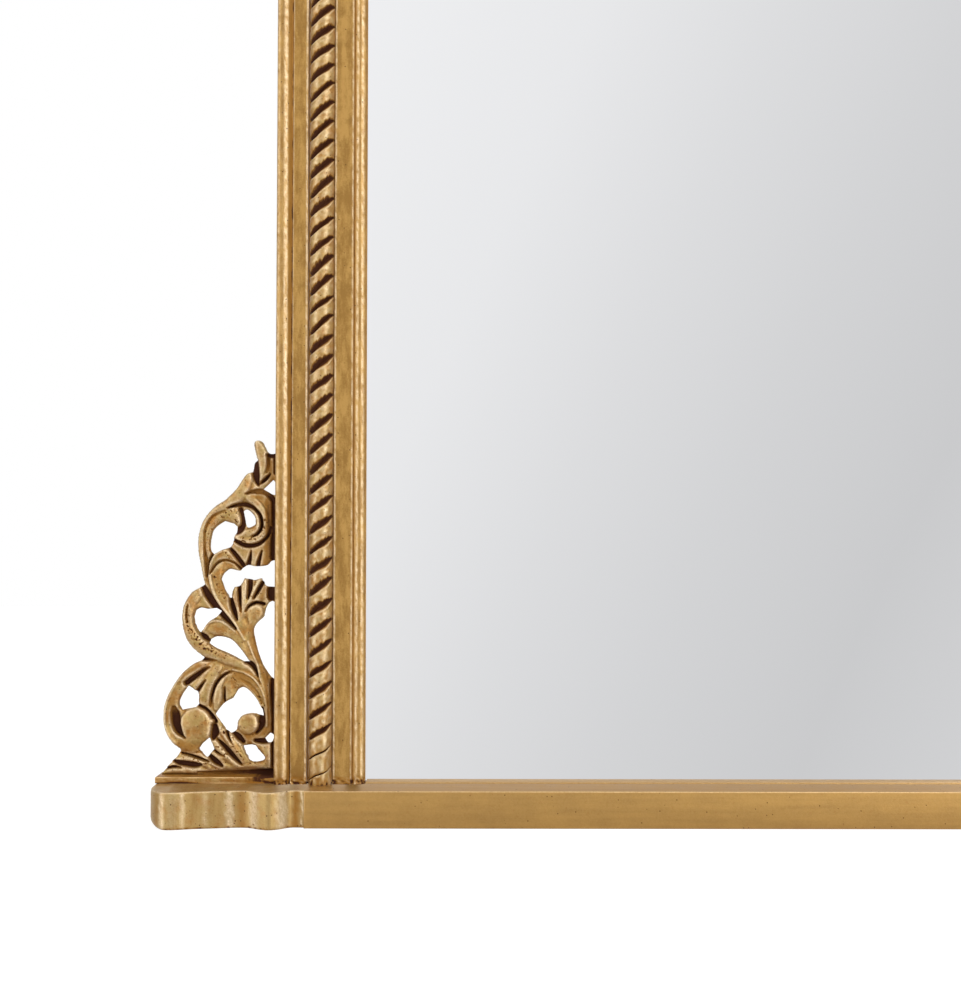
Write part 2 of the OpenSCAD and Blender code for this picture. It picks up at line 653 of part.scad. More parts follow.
// Hanger strap: a steel plate whose upper end is rolled into a loop for the ring.
module hanger_strap(left) color(steel) on_side(left) on_face(fixing_r, hanger_z) difference() {
    union() {
        translate([-strap_w / 2, -strap_l, -strap_t]) cube([strap_w, strap_l, strap_t]);
        translate([-strap_w / 2, -loop_r, -ring_axis_h]) cube([strap_w, loop_r, ring_axis_h]);
        translate([-strap_w / 2, 0, -ring_axis_h]) rotate([0, 90, 0]) cylinder(h = strap_w, r = loop_r);
    }
    translate([-strap_w / 2 - 1, 0, -ring_axis_h]) rotate([0, 90, 0])
        cylinder(h = strap_w + 2, r = loop_bore_r);
    for (z = strap_screw_zs) translate([0, z - hanger_z, 0]) screw_hole_through(strap_t);
}

// Hanging ring: a D of steel wire whose straight bar turns in the strap's loop.
module hanger_ring(left) color(steel) on_side(left) on_face(fixing_r, hanger_z, -ring_axis_h) {
    translate([-ring_w / 2, 0, 0]) rotate([0, 90, 0]) cylinder(h = ring_w, r = ring_r);
    for (s = [-1, 1]) translate([s * ring_w / 2, 0, 0]) {
        rotate([90, 0, 0]) cylinder(h = ring_leg, r = ring_r);
        sphere(r = ring_r);
    }
    translate([0, -ring_leg, 0]) rotate([0, 0, 180]) rotate_extrude(angle = 180)
        translate([ring_w / 2, 0]) circle(r = ring_r);
}

module hanger_screws() color(steel) both_sides()
    for (z = strap_screw_zs) on_face(fixing_r, z, -strap_t) wood_screw();

// Wall bumper: a rubber stop on the back of the arch, as deep as the base's overhang.
module wall_bumper(left) color(rubber_grey) on_side(left) on_arch(fixing_r, bumper_a) difference() {
    translate([0, 0, -wall_gap]) cylinder(h = wall_gap, r = bumper_dia / 2);
    translate([0, 0, -wall_gap - 1]) cylinder(h = wall_gap - bumper_floor + 1, r = bumper_sink_r);
    screw_hole_through(wall_gap);
}
bumper_floor = 4;
bumper_sink_r = screw_head_dia / 2 + 0.5;

module bumper_screws() color(steel) both_sides()
    on_arch(fixing_r, bumper_a, -bumper_floor) wood_screw();

base_rail();
base_end(true);  // base_end_left
base_end(false);  // base_end_right
upright(true);  // upright_left
upright(false);  // upright_right
arch(true);  // arch_left
arch(false);  // arch_right
rope(true);  // rope_left
rope(false);  // rope_right
rope_arch(true);  // rope_arch_left
rope_arch(false);  // rope_arch_right
sight_sill();
carving_plinth(true);  // carving_plinth_left
carving_plinth(false);  // carving_plinth_right
carving(true);  // carving_left
carving(false);  // carving_right
mirror_glass();
backing_board();
setting_blocks();
edge_packers();
backing_screws();
frame_dowels();
end_block_dowels();
base_screws();
joint_plates();
joint_plate_screws();
carving_pins();
hanger_strap(true);  // hanger_strap_left
hanger_strap(false);  // hanger_strap_right
hanger_ring(true);  // hanger_ring_left
hanger_ring(false);  // hanger_ring_right
hanger_screws();
wall_bumper(true);  // wall_bumper_left
wall_bumper(false);  // wall_bumper_right
bumper_screws();
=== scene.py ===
import math
import random

import bmesh
import bpy
import numpy as np
from mathutils import Matrix, Vector, noise


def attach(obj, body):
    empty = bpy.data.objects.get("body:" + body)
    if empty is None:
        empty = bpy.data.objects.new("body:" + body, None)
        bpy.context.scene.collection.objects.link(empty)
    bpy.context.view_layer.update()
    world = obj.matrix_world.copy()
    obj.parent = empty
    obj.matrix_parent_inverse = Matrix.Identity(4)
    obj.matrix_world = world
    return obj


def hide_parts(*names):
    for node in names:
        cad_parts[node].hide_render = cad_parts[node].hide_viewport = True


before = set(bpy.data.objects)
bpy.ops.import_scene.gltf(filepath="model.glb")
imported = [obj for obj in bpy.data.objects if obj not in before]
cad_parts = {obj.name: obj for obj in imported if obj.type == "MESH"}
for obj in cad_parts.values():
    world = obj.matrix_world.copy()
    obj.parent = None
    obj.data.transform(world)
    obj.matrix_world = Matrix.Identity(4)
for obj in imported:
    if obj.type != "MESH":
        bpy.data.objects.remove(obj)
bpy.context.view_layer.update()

scene = bpy.context.scene

# The studio: a white sweep with two upright soft boxes in front, one on each side of the camera.
# The glass sees the grey room between them, and gilding shows each box as a soft pale streak.
MM = 0.001


def hex_colour(code):
    """An sRGB hex colour as the linear RGBA that Blender's sockets take."""
    parts = [int(code[i:i + 2], 16) / 255 for i in (0, 2, 4)]
    return tuple(c / 12.92 if c <= 0.04045 else ((c + 0.055) / 1.055) ** 2.4 for c in parts) + (1.0,)


def add_node(tree, kind, inputs=None, **settings):
    """Adds one shader node; inputs take a value, a socket, or a node for its first output."""
    node = tree.nodes.new("ShaderNode" + kind)
    for name, value in settings.items():
        setattr(node, name, value)
    for name, value in (inputs or {}).items():
        if isinstance(value, bpy.types.Node):
            value = value.outputs[0]
        if isinstance(value, bpy.types.NodeSocket):
            tree.links.new(value, node.inputs[name])
        else:
            node.inputs[name].default_value = value
    return node


def blank_material(name):
    """A new material, its node tree, its shader and the piece's own coordinates."""
    mat = bpy.data.materials.new(name)
    mat.use_nodes = True
    t = mat.node_tree
    return mat, t, t.nodes["Principled BSDF"], add_node(t, "TexCoord").outputs["Object"]


# The camera stands low, 1.3 m in front of the left upright's foot, and looks up by less than 2 degrees.
CAMERA_PLACE, CAMERA_PITCH, CAMERA_ROLL, LENS_MM = (-0.3097, -1.3102, 0.2728), 91.666, 0.075, 48.28
camera = bpy.data.objects.new("Camera", bpy.data.cameras.new("Camera"))
scene.collection.objects.link(camera)
camera.data.lens = LENS_MM
camera.data.clip_start = 0.05
camera.matrix_world = (
    Matrix.Translation(CAMERA_PLACE)
    @ Matrix.Rotation(math.radians(CAMERA_PITCH), 4, "X")
    @ Matrix.Rotation(math.radians(CAMERA_ROLL), 4, "Z")
)
scene.camera = camera
scene.view_settings.view_transform = "Standard"

world = bpy.data.worlds.new("Studio")
scene.world = world
world.use_nodes = True
sky = world.node_tree
sky.nodes.clear()
direction = add_node(sky, "TexCoord").outputs["Generated"]
# The room's brightness along the slanting direction in which it falls off, as (place, level).
slant = add_node(sky, "VectorMath", {0: direction, 1: (0.912, 0.0, -0.410)}, operation="DOT_PRODUCT")
room = add_node(sky, "MapRange", {0: slant.outputs["Value"], 1: -1.0, 2: 0.45})
room_ramp = add_node(sky, "ValToRGB", {0: room})
room_stops = ((0.0, 0.62), (0.2, 0.76), (0.35, 0.93), (0.448, 0.97), (0.542, 0.925), (0.636, 0.87),
              (0.719, 0.775), (0.793, 0.705), (0.879, 0.64), (0.956, 0.69), (1.0, 0.8))
ramp = room_ramp.color_ramp
while len(ramp.elements) < len(room_stops):
    ramp.elements.new(0.5)
for element, (place, level) in zip(ramp.elements, room_stops):
    element.position = place
    element.color = (level, level, level * 1.012, 1.0)
level_dir = add_node(sky, "VectorMath", {0: direction, 1: (1.0, 1.0, 0.0)}, operation="MULTIPLY")
level_dir = add_node(sky, "VectorMath", {0: level_dir}, operation="NORMALIZE")
height = add_node(sky, "SeparateXYZ", {0: direction}).outputs["Z"]
box_foot = add_node(sky, "MapRange", {0: height, 1: -0.45, 2: -0.05}, interpolation_type="SMOOTHSTEP")
# Each soft box: its azimuth from straight ahead, the angles where it ends and is full, its strength.
glow = None
for azimuth, wide, narrow, strength in ((-52, 24, 8, 1.4), (36, 14, 5, 3.2)):
    toward = (math.sin(math.radians(azimuth)), -math.cos(math.radians(azimuth)), 0.0)
    facing = add_node(sky, "VectorMath", {0: level_dir, 1: toward}, operation="DOT_PRODUCT")
    strip = add_node(sky, "MapRange", {
        0: facing.outputs["Value"], 4: strength,
        1: math.cos(math.radians(wide)), 2: math.cos(math.radians(narrow)),
    }, interpolation_type="SMOOTHSTEP")
    strip = add_node(sky, "Math", {0: strip, 1: box_foot}, operation="MULTIPLY")
    glow = strip if glow is None else add_node(sky, "Math", {0: glow, 1: strip}, operation="ADD")
lit_room = add_node(sky, "VectorMath", {0: room_ramp, 1: glow}, operation="ADD")
seen = add_node(sky, "LightPath").outputs["Is Camera Ray"]
shown = add_node(sky, "Mix", {0: seen, 6: lit_room, 7: (1.0, 1.0, 1.0, 1.0)}, data_type="RGBA")
background = add_node(sky, "Background", {"Color": shown.outputs[2], "Strength": 1.0})
add_node(sky, "OutputWorld", {"Surface": background})

# The floor is white; the camera sees it just below white, so that the object's shadow stays.
bpy.ops.mesh.primitive_plane_add(size=8)
floor = bpy.context.object
floor.name = "floor"
floor_mat = bpy.data.materials.new("white_floor")
floor_mat.use_nodes = True
tree = floor_mat.node_tree
tree.nodes.clear()
path = add_node(tree, "LightPath")
paint = add_node(tree, "BsdfDiffuse", {"Color": (0.8, 0.8, 0.8, 1.0)})
faint_paint = add_node(tree, "BsdfDiffuse", {"Color": (0.25, 0.25, 0.25, 1.0)})
white = add_node(tree, "Emission", {"Color": (1.0, 1.0, 1.0, 1.0), "Strength": 0.86})
to_camera = add_node(tree, "AddShader", {0: faint_paint, 1: white})
clear = add_node(tree, "BsdfTransparent")
surface = add_node(tree, "MixShader", {0: path.outputs["Is Camera Ray"], 1: paint, 2: to_camera})
surface = add_node(tree, "MixShader", {0: path.outputs["Is Glossy Ray"], 1: surface, 2: clear})
add_node(tree, "OutputMaterial", {"Surface": surface})
floor.data.materials.append(floor_mat)


# Frame: four lengths of one softwood moulding with an outer bead, two flat bands, a channel for the
# rope and two reeds at the sight edge, coated with gesso, gilded, rubbed and toned with dark glaze.
Y_BACK, SPRING_Z, BASE_H = 32.5, 1320.0, 35.0
OUTER_R, SIGHT_R, ROPE_LINE = 510.0, 421.0, 465.0
# Each side of the mirror, and whether its pieces are mirrored from the drawn right-hand ones.
SIDES = (("left", True), ("right", False))


# What lies over and under the leaf: greenish dirt, warm wear, red-brown bole, thin amber and thick brown
# glaze. The amber and the brown also carry the painted shade.
KHAKI, WARM, BOLE, AMBER, BROWN = "ae9458", "a8702f", "a06a3c", "92621f", "43220f"


def gilding(name, low, mid, high, rough, streak, pits_mm=(5.6, 0.55, 0.3), mottle=0.25, patchy=0.0,
            grain=1.0):
    """Gold leaf over gesso and bole: streaky, rubbed pale on the edges, brown glaze in the hollows. The pale
    marks also carry painted highlights, and the glaze marks painted shade.

    pits_mm is the distance between pits, a pit's radius, and the share of places that have one. The
    streaks of the gilder's brush are 6 mm apart, the clouds 18 mm and the grain of the gesso 1.6 mm.
    """
    pit_cell, pit_radius, pit_share = pits_mm
    mat, t, shader, where = blank_material(name)
    glaze_and_shade = add_node(t, "Attribute", attribute_name="glaze_and_shade").outputs["Fac"]
    rubbed_and_highlight = add_node(t, "Attribute", attribute_name="rubbed_and_highlight").outputs["Fac"]
    along = add_node(t, "Mapping", {"Vector": where, "Scale": streak})
    brushed = add_node(t, "TexNoise", {"Vector": along, "Scale": 160.0, "Detail": 4.0, "Roughness": 0.6})
    cloud = add_node(t, "TexNoise", {"Vector": where, "Scale": 55.0, "Detail": 5.0, "Roughness": 0.62})
    fine = add_node(t, "TexNoise", {"Vector": where, "Scale": 620.0, "Detail": 3.0, "Roughness": 0.7})
    tone = 0.0
    for layer, weight in ((brushed, 0.5), (cloud, 0.3), (fine, 0.2)):
        tone = add_node(t, "Math", {0: layer, 1: weight, 2: tone}, operation="MULTIPLY_ADD")
    tone = add_node(t, "MapRange", {0: tone, 1: 0.5 - 0.14 / grain, 2: 0.5 + 0.14 / grain})
    patch = add_node(t, "TexNoise", {"Vector": where, "Scale": 90.0, "Detail": 3.0, "Roughness": 0.6})
    khaki = add_node(t, "MapRange", {0: patch, 1: 0.5, 2: 0.62, 4: patchy})
    warm = add_node(t, "MapRange", {0: patch, 1: 0.46, 2: 0.36, 4: patchy})
    # The pale tint: rubbed leaf, and the painted highlights.
    worn = add_node(t, "MapRange", {0: fine, 1: 0.3, 2: 0.62, 3: 0.5, 4: 1.0})
    worn = add_node(t, "Math", {0: worn, 1: rubbed_and_highlight}, operation="MULTIPLY")
    bole = add_node(t, "TexNoise", {"Vector": where, "Scale": 300.0, "Detail": 3.0, "Roughness": 0.6})
    bole = add_node(t, "MapRange", {0: bole, 1: 0.58, 2: 0.72, 4: mottle})
    pits = add_node(t, "TexVoronoi", {"Vector": where, "Scale": 1000.0 / pit_cell, "Randomness": 1.0})
    pit = add_node(t, "MapRange", {0: pits.outputs["Distance"], 1: 0.6 * pit_radius / pit_cell,
                                   2: 1.4 * pit_radius / pit_cell, 3: 0.9, 4: 0.0})
    chosen = add_node(t, "SeparateColor", {0: pits.outputs["Color"]}).outputs["Red"]
    chosen = add_node(t, "Math", {0: chosen, 1: 1.0 - pit_share}, operation="GREATER_THAN")
    pit = add_node(t, "Math", {0: pit, 1: chosen}, operation="MULTIPLY")
    # Grain breaks up the border of the thick glaze and of the painted shade.
    dark = add_node(t, "Math", {0: fine, 1: 0.5, 2: -0.5}, operation="MULTIPLY_ADD")
    dark = add_node(t, "Math", {0: cloud, 1: 0.5, 2: dark}, operation="MULTIPLY_ADD")
    dark = add_node(t, "Math", {0: glaze_and_shade, 1: dark}, operation="ADD")
    dark = add_node(t, "MapRange", {0: dark, 1: 0.46, 2: 0.82})
    dark = add_node(t, "Math", {0: dark, 1: pit}, operation="MAXIMUM")
    toned = add_node(t, "MapRange", {0: glaze_and_shade, 1: 0.02, 2: 0.42, 4: 0.85})
    colour = hex_colour(low)
    for share, tint in ((tone, mid), (khaki, KHAKI), (warm, WARM), (worn, high), (bole, BOLE),
                        (toned, AMBER), (dark, BROWN)):
        mixed = add_node(t, "Mix", {0: share, 6: colour, 7: hex_colour(tint)}, data_type="RGBA")
        colour = mixed.outputs[2]
    rough_map = add_node(t, "MapRange", {0: cloud, 1: 0.3, 2: 0.7, 3: rough - 0.04, 4: rough + 0.06})
    rough_map = add_node(t, "Mix", {0: dark, 2: rough_map, 3: 0.8})
    # Glaze is a varnish over the leaf, so the metal shows less through it; the painted shade dulls it alike.
    dulled = add_node(t, "Math", {0: toned, 1: 0.8}, operation="MULTIPLY")
    dulled = add_node(t, "Math", {0: dark, 1: dulled}, operation="MAXIMUM")
    metal_map = add_node(t, "MapRange", {0: dulled, 3: 0.72, 4: 0.0})
    relief = 0.0
    for layer, weight in ((pit, -1.5), (brushed, 0.4), (fine, 0.6)):
        relief = add_node(t, "Math", {0: layer, 1: weight, 2: relief}, operation="MULTIPLY_ADD")
    bump = add_node(t, "Bump", {"Height": relief, "Strength": 0.4, "Distance": 0.0004 * grain})
    for socket, node in (("Base Color", colour), ("Roughness", rough_map.outputs[0]),
                         ("Metallic", metal_map.outputs[0]), ("Normal", bump.outputs[0])):
        t.links.new(node, shader.inputs[socket])
    shader.inputs["Specular IOR Level"].default_value = 0.12
    shader.inputs["Coat Weight"].default_value = 0.06
    shader.inputs["Coat Roughness"].default_value = 0.35
    return mat


def wood(name, light, dark, scale):
    """Unfinished sawn wood with its grain along the piece."""
    mat, t, shader, where = blank_material(name)
    along = add_node(t, "Mapping", {"Vector": where, "Scale": scale})
    grain = add_node(t, "TexNoise", {"Vector": along, "Scale": 220.0, "Detail": 6.0, "Roughness": 0.65,
                                     "Distortion": 0.4})
    tone = add_node(t, "MapRange", {0: grain, 1: 0.35, 2: 0.68})
    colour = add_node(t, "Mix", {0: tone, 6: hex_colour(light), 7: hex_colour(dark)}, data_type="RGBA")
    bump = add_node(t, "Bump", {"Height": grain, "Strength": 0.3, "Distance": 0.0005})
    t.links.new(colour.outputs[2], shader.inputs["Base Color"])
    t.links.new(bump.outputs[0], shader.inputs["Normal"])
    shader.inputs["Roughness"].default_value = 0.72
    return mat


gilt_moulding, gilt_arch = (
    gilding(name, "98723a", "b89050", "dcc29a", 0.42, streak, grain=2.0)
    for name, streak in (("gilt_moulding_rubbed_leaf_with_painted_light", (1.0, 1.0, 0.25)),
                         ("gilt_moulding_on_the_arch", (1.0, 1.0, 1.0)))
)
raw_wood = wood("raw_softwood_back", "c9a878", "a98452", (1.0, 1.0, 0.04))


def ripple(*place):
    """Smooth noise at a place, for whatever a hand left uneven."""
    return noise.noise(Vector(place))


def section_arc(cx, cy, r, start, end, steps):
    """Points on an arc of the section, from one angle to another."""
    turns = [math.radians(start + (end - start) * i / steps) for i in range(steps + 1)]
    return [(cx + r * math.cos(a), cy + r * math.sin(a)) for a in turns]


# Section, from the outer back corner round the front to the sight edge, and back through the rebates:
# distance from the mirror's centre line against height above the frame's back.
section = [
    # Outer side and bead
    (510.0, 0.0), (510.0, 8.0), (510.0, 16.0), (510.0, 24.0), (510.0, 34.4), (509.9, 35.6), (509.6, 36.6),
    (509.0, 37.4), (508.0, 37.95), (507.0, 38.37), (506.0, 38.67), (505.0, 38.87), (504.0, 38.97),
    (503.0, 39.0), (502.0, 38.93), (501.0, 38.75), (500.2, 38.5), (499.2, 38.12), (498.2, 37.68),
    (497.5, 37.3), (496.9, 36.8), (496.3, 36.1), (495.8, 35.4), (495.3, 34.8), (494.9, 34.4),
    # Quirk and outer flat
    (494.5, 34.3), (494.2, 34.7), (494.0, 35.3), *section_arc(493.3, 35.3, 0.7, 0, 90, 3),
    (492.4, 36.0), (490.0, 36.05), (486.0, 36.0), (482.5, 36.05), (480.6, 36.05), (479.9, 36.1),
    *section_arc(479.0, 35.2, 0.85, 90, 180, 3),
    # Channel and inner flat
    (478.1, 33.0), (478.0, 32.0), (465.0, 32.0), (453.2, 32.0), (453.1, 33.0),
    *section_arc(452.2, 35.2, 0.85, 0, 90, 3),
    (451.3, 36.1), (450.5, 36.05), (447.0, 36.05), (443.0, 36.0), (438.5, 36.05), (436.6, 36.05),
    *section_arc(435.6, 35.4, 0.7, 90, 180, 3),
    # Groove and reeds
    (434.7, 34.6), (434.3, 34.2), (433.8, 34.1), (433.2, 34.25), (432.4, 34.5), (431.6, 34.8),
    (430.9, 35.1), (430.2, 35.4), (429.6, 35.65), (429.0, 35.85), (428.4, 36.0), (427.4, 36.05), (426.4, 35.95),
    (425.6, 35.75), (425.0, 35.5), (424.4, 35.25), (423.8, 34.95), (423.2, 34.5), (422.6, 33.9),
    (422.0, 33.1), (421.5, 32.1), (421.2, 31.0), (421.6, 28.0), (422.4, 22.0), (423.4, 14.0),
    # Rebates for the glass and the backing board
    (431.0, 14.0), (431.0, 9.0), (444.0, 9.0), (444.0, 0.0), (477.0, 0.0),
]

# How much glaze stays in each part of the section, and where the leaf is painted pale for rubbed wear
# and as painted highlights on the bead, the reeds and the arrises: (place, strength).
GLAZE_AT = (
    (421.0, 0.25), (422.6, 0.1), (423.6, 0.0), (431.2, 0.0), (431.8, 0.1), (432.8, 0.16), (433.3, 0.6),
    (433.9, 0.7), (434.3, 0.35), (435.0, 0.0), (451.6, 0.0), (452.6, 0.1), (453.1, 0.3), (453.9, 0.44),
    (477.0, 0.44), (478.0, 0.36), (478.2, 0.2), (478.8, 0.0), (493.0, 0.0), (493.9, 0.15), (494.2, 0.85),
    (494.9, 0.8), (495.3, 0.45), (496.3, 0.32), (497.2, 0.12), (498.0, 0.0), (509.0, 0.0), (510.0, 0.15),
)
RUBBED_AND_HIGHLIGHT_AT = (
    (421.0, 0.1), (422.6, 0.1), (423.6, 0.5), (424.4, 1.0), (425.2, 0.9), (426.2, 0.1), (428.6, 0.1),
    (429.4, 0.7), (430.2, 1.0), (431.2, 1.0), (431.8, 0.1), (434.8, 0.3), (435.2, 1.0), (435.8, 0.5),
    (436.6, 0.0), (450.5, 0.0), (451.3, 1.1), (452.2, 1.1), (452.8, 0.4), (453.1, 0.0), (478.1, 0.0),
    (478.4, 0.4), (479.0, 1.1), (479.9, 1.1), (480.6, 0.0), (492.4, 0.0), (493.2, 0.4), (493.9, 0.8),
    (494.2, 0.0), (497.0, 0.0), (497.8, 0.8), (499.0, 1.0), (500.4, 0.9), (501.4, 0.3), (502.6, 0.1),
    (505.4, 0.15), (506.4, 0.6), (508.6, 0.7), (510.0, 0.2),
)
# How far each member stands further out on the upper part, in mm. The planing drifted a little.
DRIFT_AT = (
    (421.4, 0.0), (424.0, 1.4), (426.0, 1.4), (429.0, 0.3), (434.0, 0.0), (453.0, 0.2), (478.0, 1.2),
    (480.6, 1.2), (486.0, 0.3), (494.5, 0.0), (497.0, 1.7), (504.0, 1.7), (510.0, 0.0),
)
# Height where the drift is full, and the height below which the foot is knocked and frayed.
DRIFT_FULL, FRAYED = 700.0, 9.0


def table(pairs, x):
    """The values that a table of (place, value) has at the places x."""
    return np.interp(x, [p[0] for p in pairs], [p[1] for p in pairs])


def add_piece(bm, name, node, materials, mirrored=False, angle=38.0, marks=None, in_glass=True):
    """Turns a bmesh drawn in millimetres into one finished piece that rides on the mirror.

    The photographed glass shows nothing but the room, so the frame and the shelf stay out of it.
    """
    if mirrored:
        bmesh.ops.scale(bm, vec=(-1.0, 1.0, 1.0), verts=bm.verts)
    bmesh.ops.scale(bm, vec=(MM, MM, MM), verts=bm.verts)
    bmesh.ops.recalc_face_normals(bm, faces=bm.faces)
    mesh = bpy.data.meshes.new(name)
    bm.to_mesh(mesh)
    bm.free()
    for label, values in (marks or {}).items():
        attribute = mesh.attributes.new(label, "FLOAT", "POINT")
        attribute.data.foreach_set("value", np.asarray(values, np.float32))
    mesh.polygons.foreach_set("use_smooth", [True] * len(mesh.polygons))
    mesh.set_sharp_from_angle(angle=math.radians(angle))
    for mat in materials:
        mesh.materials.append(mat)
    piece = bpy.data.objects.new(name, mesh)
    scene.collection.objects.link(piece)
    piece.visible_glossy = in_glass
    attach(piece, "mirror")
    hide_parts(node)


def moulding_length(steps):
    """The section pulled along Z by the given steps and closed at both ends."""
    bm = bmesh.new()
    corners = [bm.verts.new((x, h, 0.0)) for x, h in section]
    edges = [bm.edges.new((corners[i], corners[(i + 1) % len(corners)])) for i in range(len(corners))]
    first = list(edges)
    for step in steps:
        made = bmesh.ops.extrude_edge_only(bm, edges=edges)["geom"]
        edges = [e for e in made if isinstance(e, bmesh.types.BMEdge)]
        ring = list({v for e in edges for v in e.verts})
        edges = [e for e in edges if all(abs(v.co.z - ring[0].co.z) < 1e-6 for v in e.verts)]
        bmesh.ops.translate(bm, vec=(0.0, 0.0, step), verts=ring)
    bmesh.ops.contextual_create(bm, geom=first)
    bmesh.ops.contextual_create(bm, geom=edges)
    return bm


def marks_on_moulding(bm, foot):
    """Raw wood on the back, slight waves in the gesso, and where glaze, rubbing and painted highlights lie."""
    for face in bm.faces:
        c = face.calc_center_median()
        face.material_index = 1 if c.y < 15.0 and c.x < 509.0 else 0
    bm.verts.ensure_lookup_table()
    co = np.array([v.co for v in bm.verts])
    glaze_and_shade, rubbed_and_highlight = table(GLAZE_AT, co[:, 0]), table(RUBBED_AND_HIGHLIGHT_AT, co[:, 0])
    front = co[:, 1] > 20.0
    glaze_and_shade[(~front) & (co[:, 0] > 509.0)] = 0.2
    rubbed_and_highlight[~front] = 0.0
    higher = np.clip(co[:, 2] / DRIFT_FULL, 0.0, 1.0) if foot else np.ones(len(co))
    drift = table(DRIFT_AT, co[:, 0]) * front * higher
    # The brown line in each quirk is unbroken near the foot and wears away higher up.
    quirk_line = front & (glaze_and_shade > 0.7) & ((co[:, 0] > 490.0) | (co[:, 0] < 440.0))
    worn_off = 0.3 * higher if foot else 0.2
    dashes = np.array([ripple(x * 0.3, 0.0, z * 0.11) for x, z in co[:, (0, 2)]])
    glaze_and_shade[quirk_line] = (glaze_and_shade - worn_off + 0.4 * dashes)[quirk_line]
    # Pale edges, rubbed and painted as highlights, are broken up, and knocks took the leaf off others.
    flecks = np.array([ripple(x * 0.5, 5.0, z * 0.19) for x, z in co[:, (0, 2)]])
    rubbed_and_highlight *= np.clip(0.75 + 1.6 * flecks, 0.2, 1.2)
    sharp = front & (rubbed_and_highlight > 0.45) & (glaze_and_shade < 0.3)
    glaze_and_shade[sharp] = np.maximum(glaze_and_shade, 1.5 * (-flecks - 0.18))[sharp]
    low = np.clip(1.0 - co[:, 2] / FRAYED, 0.0, 1.0) if foot else np.zeros(len(co))
    for i, vert in enumerate(bm.verts):
        if co[i, 1] < 16.0:
            continue
        place = Vector(co[i])
        vert.co.x += drift[i]
        vert.co.y += ripple(*place * 0.018) * 0.22 + ripple(*place * 0.09) * 0.07
        if low[i] > 0:
            lump = ripple(*place * 0.42)
            vert.co.y += 2.6 * low[i] * lump if co[i, 1] < 37.5 else -0.8 * low[i] * abs(lump)
            glaze_and_shade[i] = max(glaze_and_shade[i], low[i] * (0.62 - 1.7 * lump))
            rubbed_and_highlight[i] = max(rubbed_and_highlight[i], low[i] * 1.6 * lump)
    return {"glaze_and_shade": glaze_and_shade, "rubbed_and_highlight": rubbed_and_highlight}


def stand_up(bm, foot_z):
    """From drawn section coordinates (x, height, run) to the frame's own: run becomes Z."""
    for v in bm.verts:
        v.co = Vector((v.co.x, Y_BACK - v.co.y, foot_z + v.co.z))


def bend_round(bm):
    """The same, with the run turned into an angle round the arch; run is in degrees."""
    for v in bm.verts:
        a = math.radians(v.co.z)
        v.co = Vector((v.co.x * math.cos(a), Y_BACK - v.co.y, SPRING_Z + v.co.x * math.sin(a)))


# Rows of vertices lie closer together in the frayed foot. The last row meets the arch.
upright_steps = [1.1] * 9 + [3.0] * 420
upright_steps[-1] += SPRING_Z - BASE_H - sum(upright_steps)
arch_steps = [90.0 / 96] * 96
for side, flip in SIDES:
    bm = moulding_length(upright_steps)
    marks = marks_on_moulding(bm, True)
    stand_up(bm, BASE_H)
    add_piece(bm, "upright_moulding_" + side, "upright_" + side, [gilt_moulding, raw_wood],
              flip, marks=marks, in_glass=False)
    bm = moulding_length(arch_steps)
    marks = marks_on_moulding(bm, False)
    bend_round(bm)
    add_piece(bm, "arch_moulding_" + side, "arch_" + side, [gilt_arch, raw_wood],
              flip, marks=marks, in_glass=False)

# Rope: a half-round wooden bar, cut with sloping gouge strokes into twisted strands and glued in the
# moulding's channel. The gouge cuts are broad and brown, with a ragged upper and a crisp lower edge.
ROPE_R, ROPE_HALF_W, ROPE_H, CHANNEL_H, ROPE_PITCH = 11.25, 11.9, 32.75, 32.0, 19.4
CUT_HALF, CUT_DEPTH, CUT_SWEEP = 3.7, 4.0, 9.2
ROUGH_FOOT, WORN_BELOW = 14.0, 420.0
rope_leaf = gilding("gilt_rope_rubbed_leaf_with_painted_light", "a37d48", "b8955e", "dcc69e", 0.44, (1.0, 1.0, 0.6),
                    (4.0, 0.5, 0.35), mottle=0.4, patchy=0.5, grain=1.7)


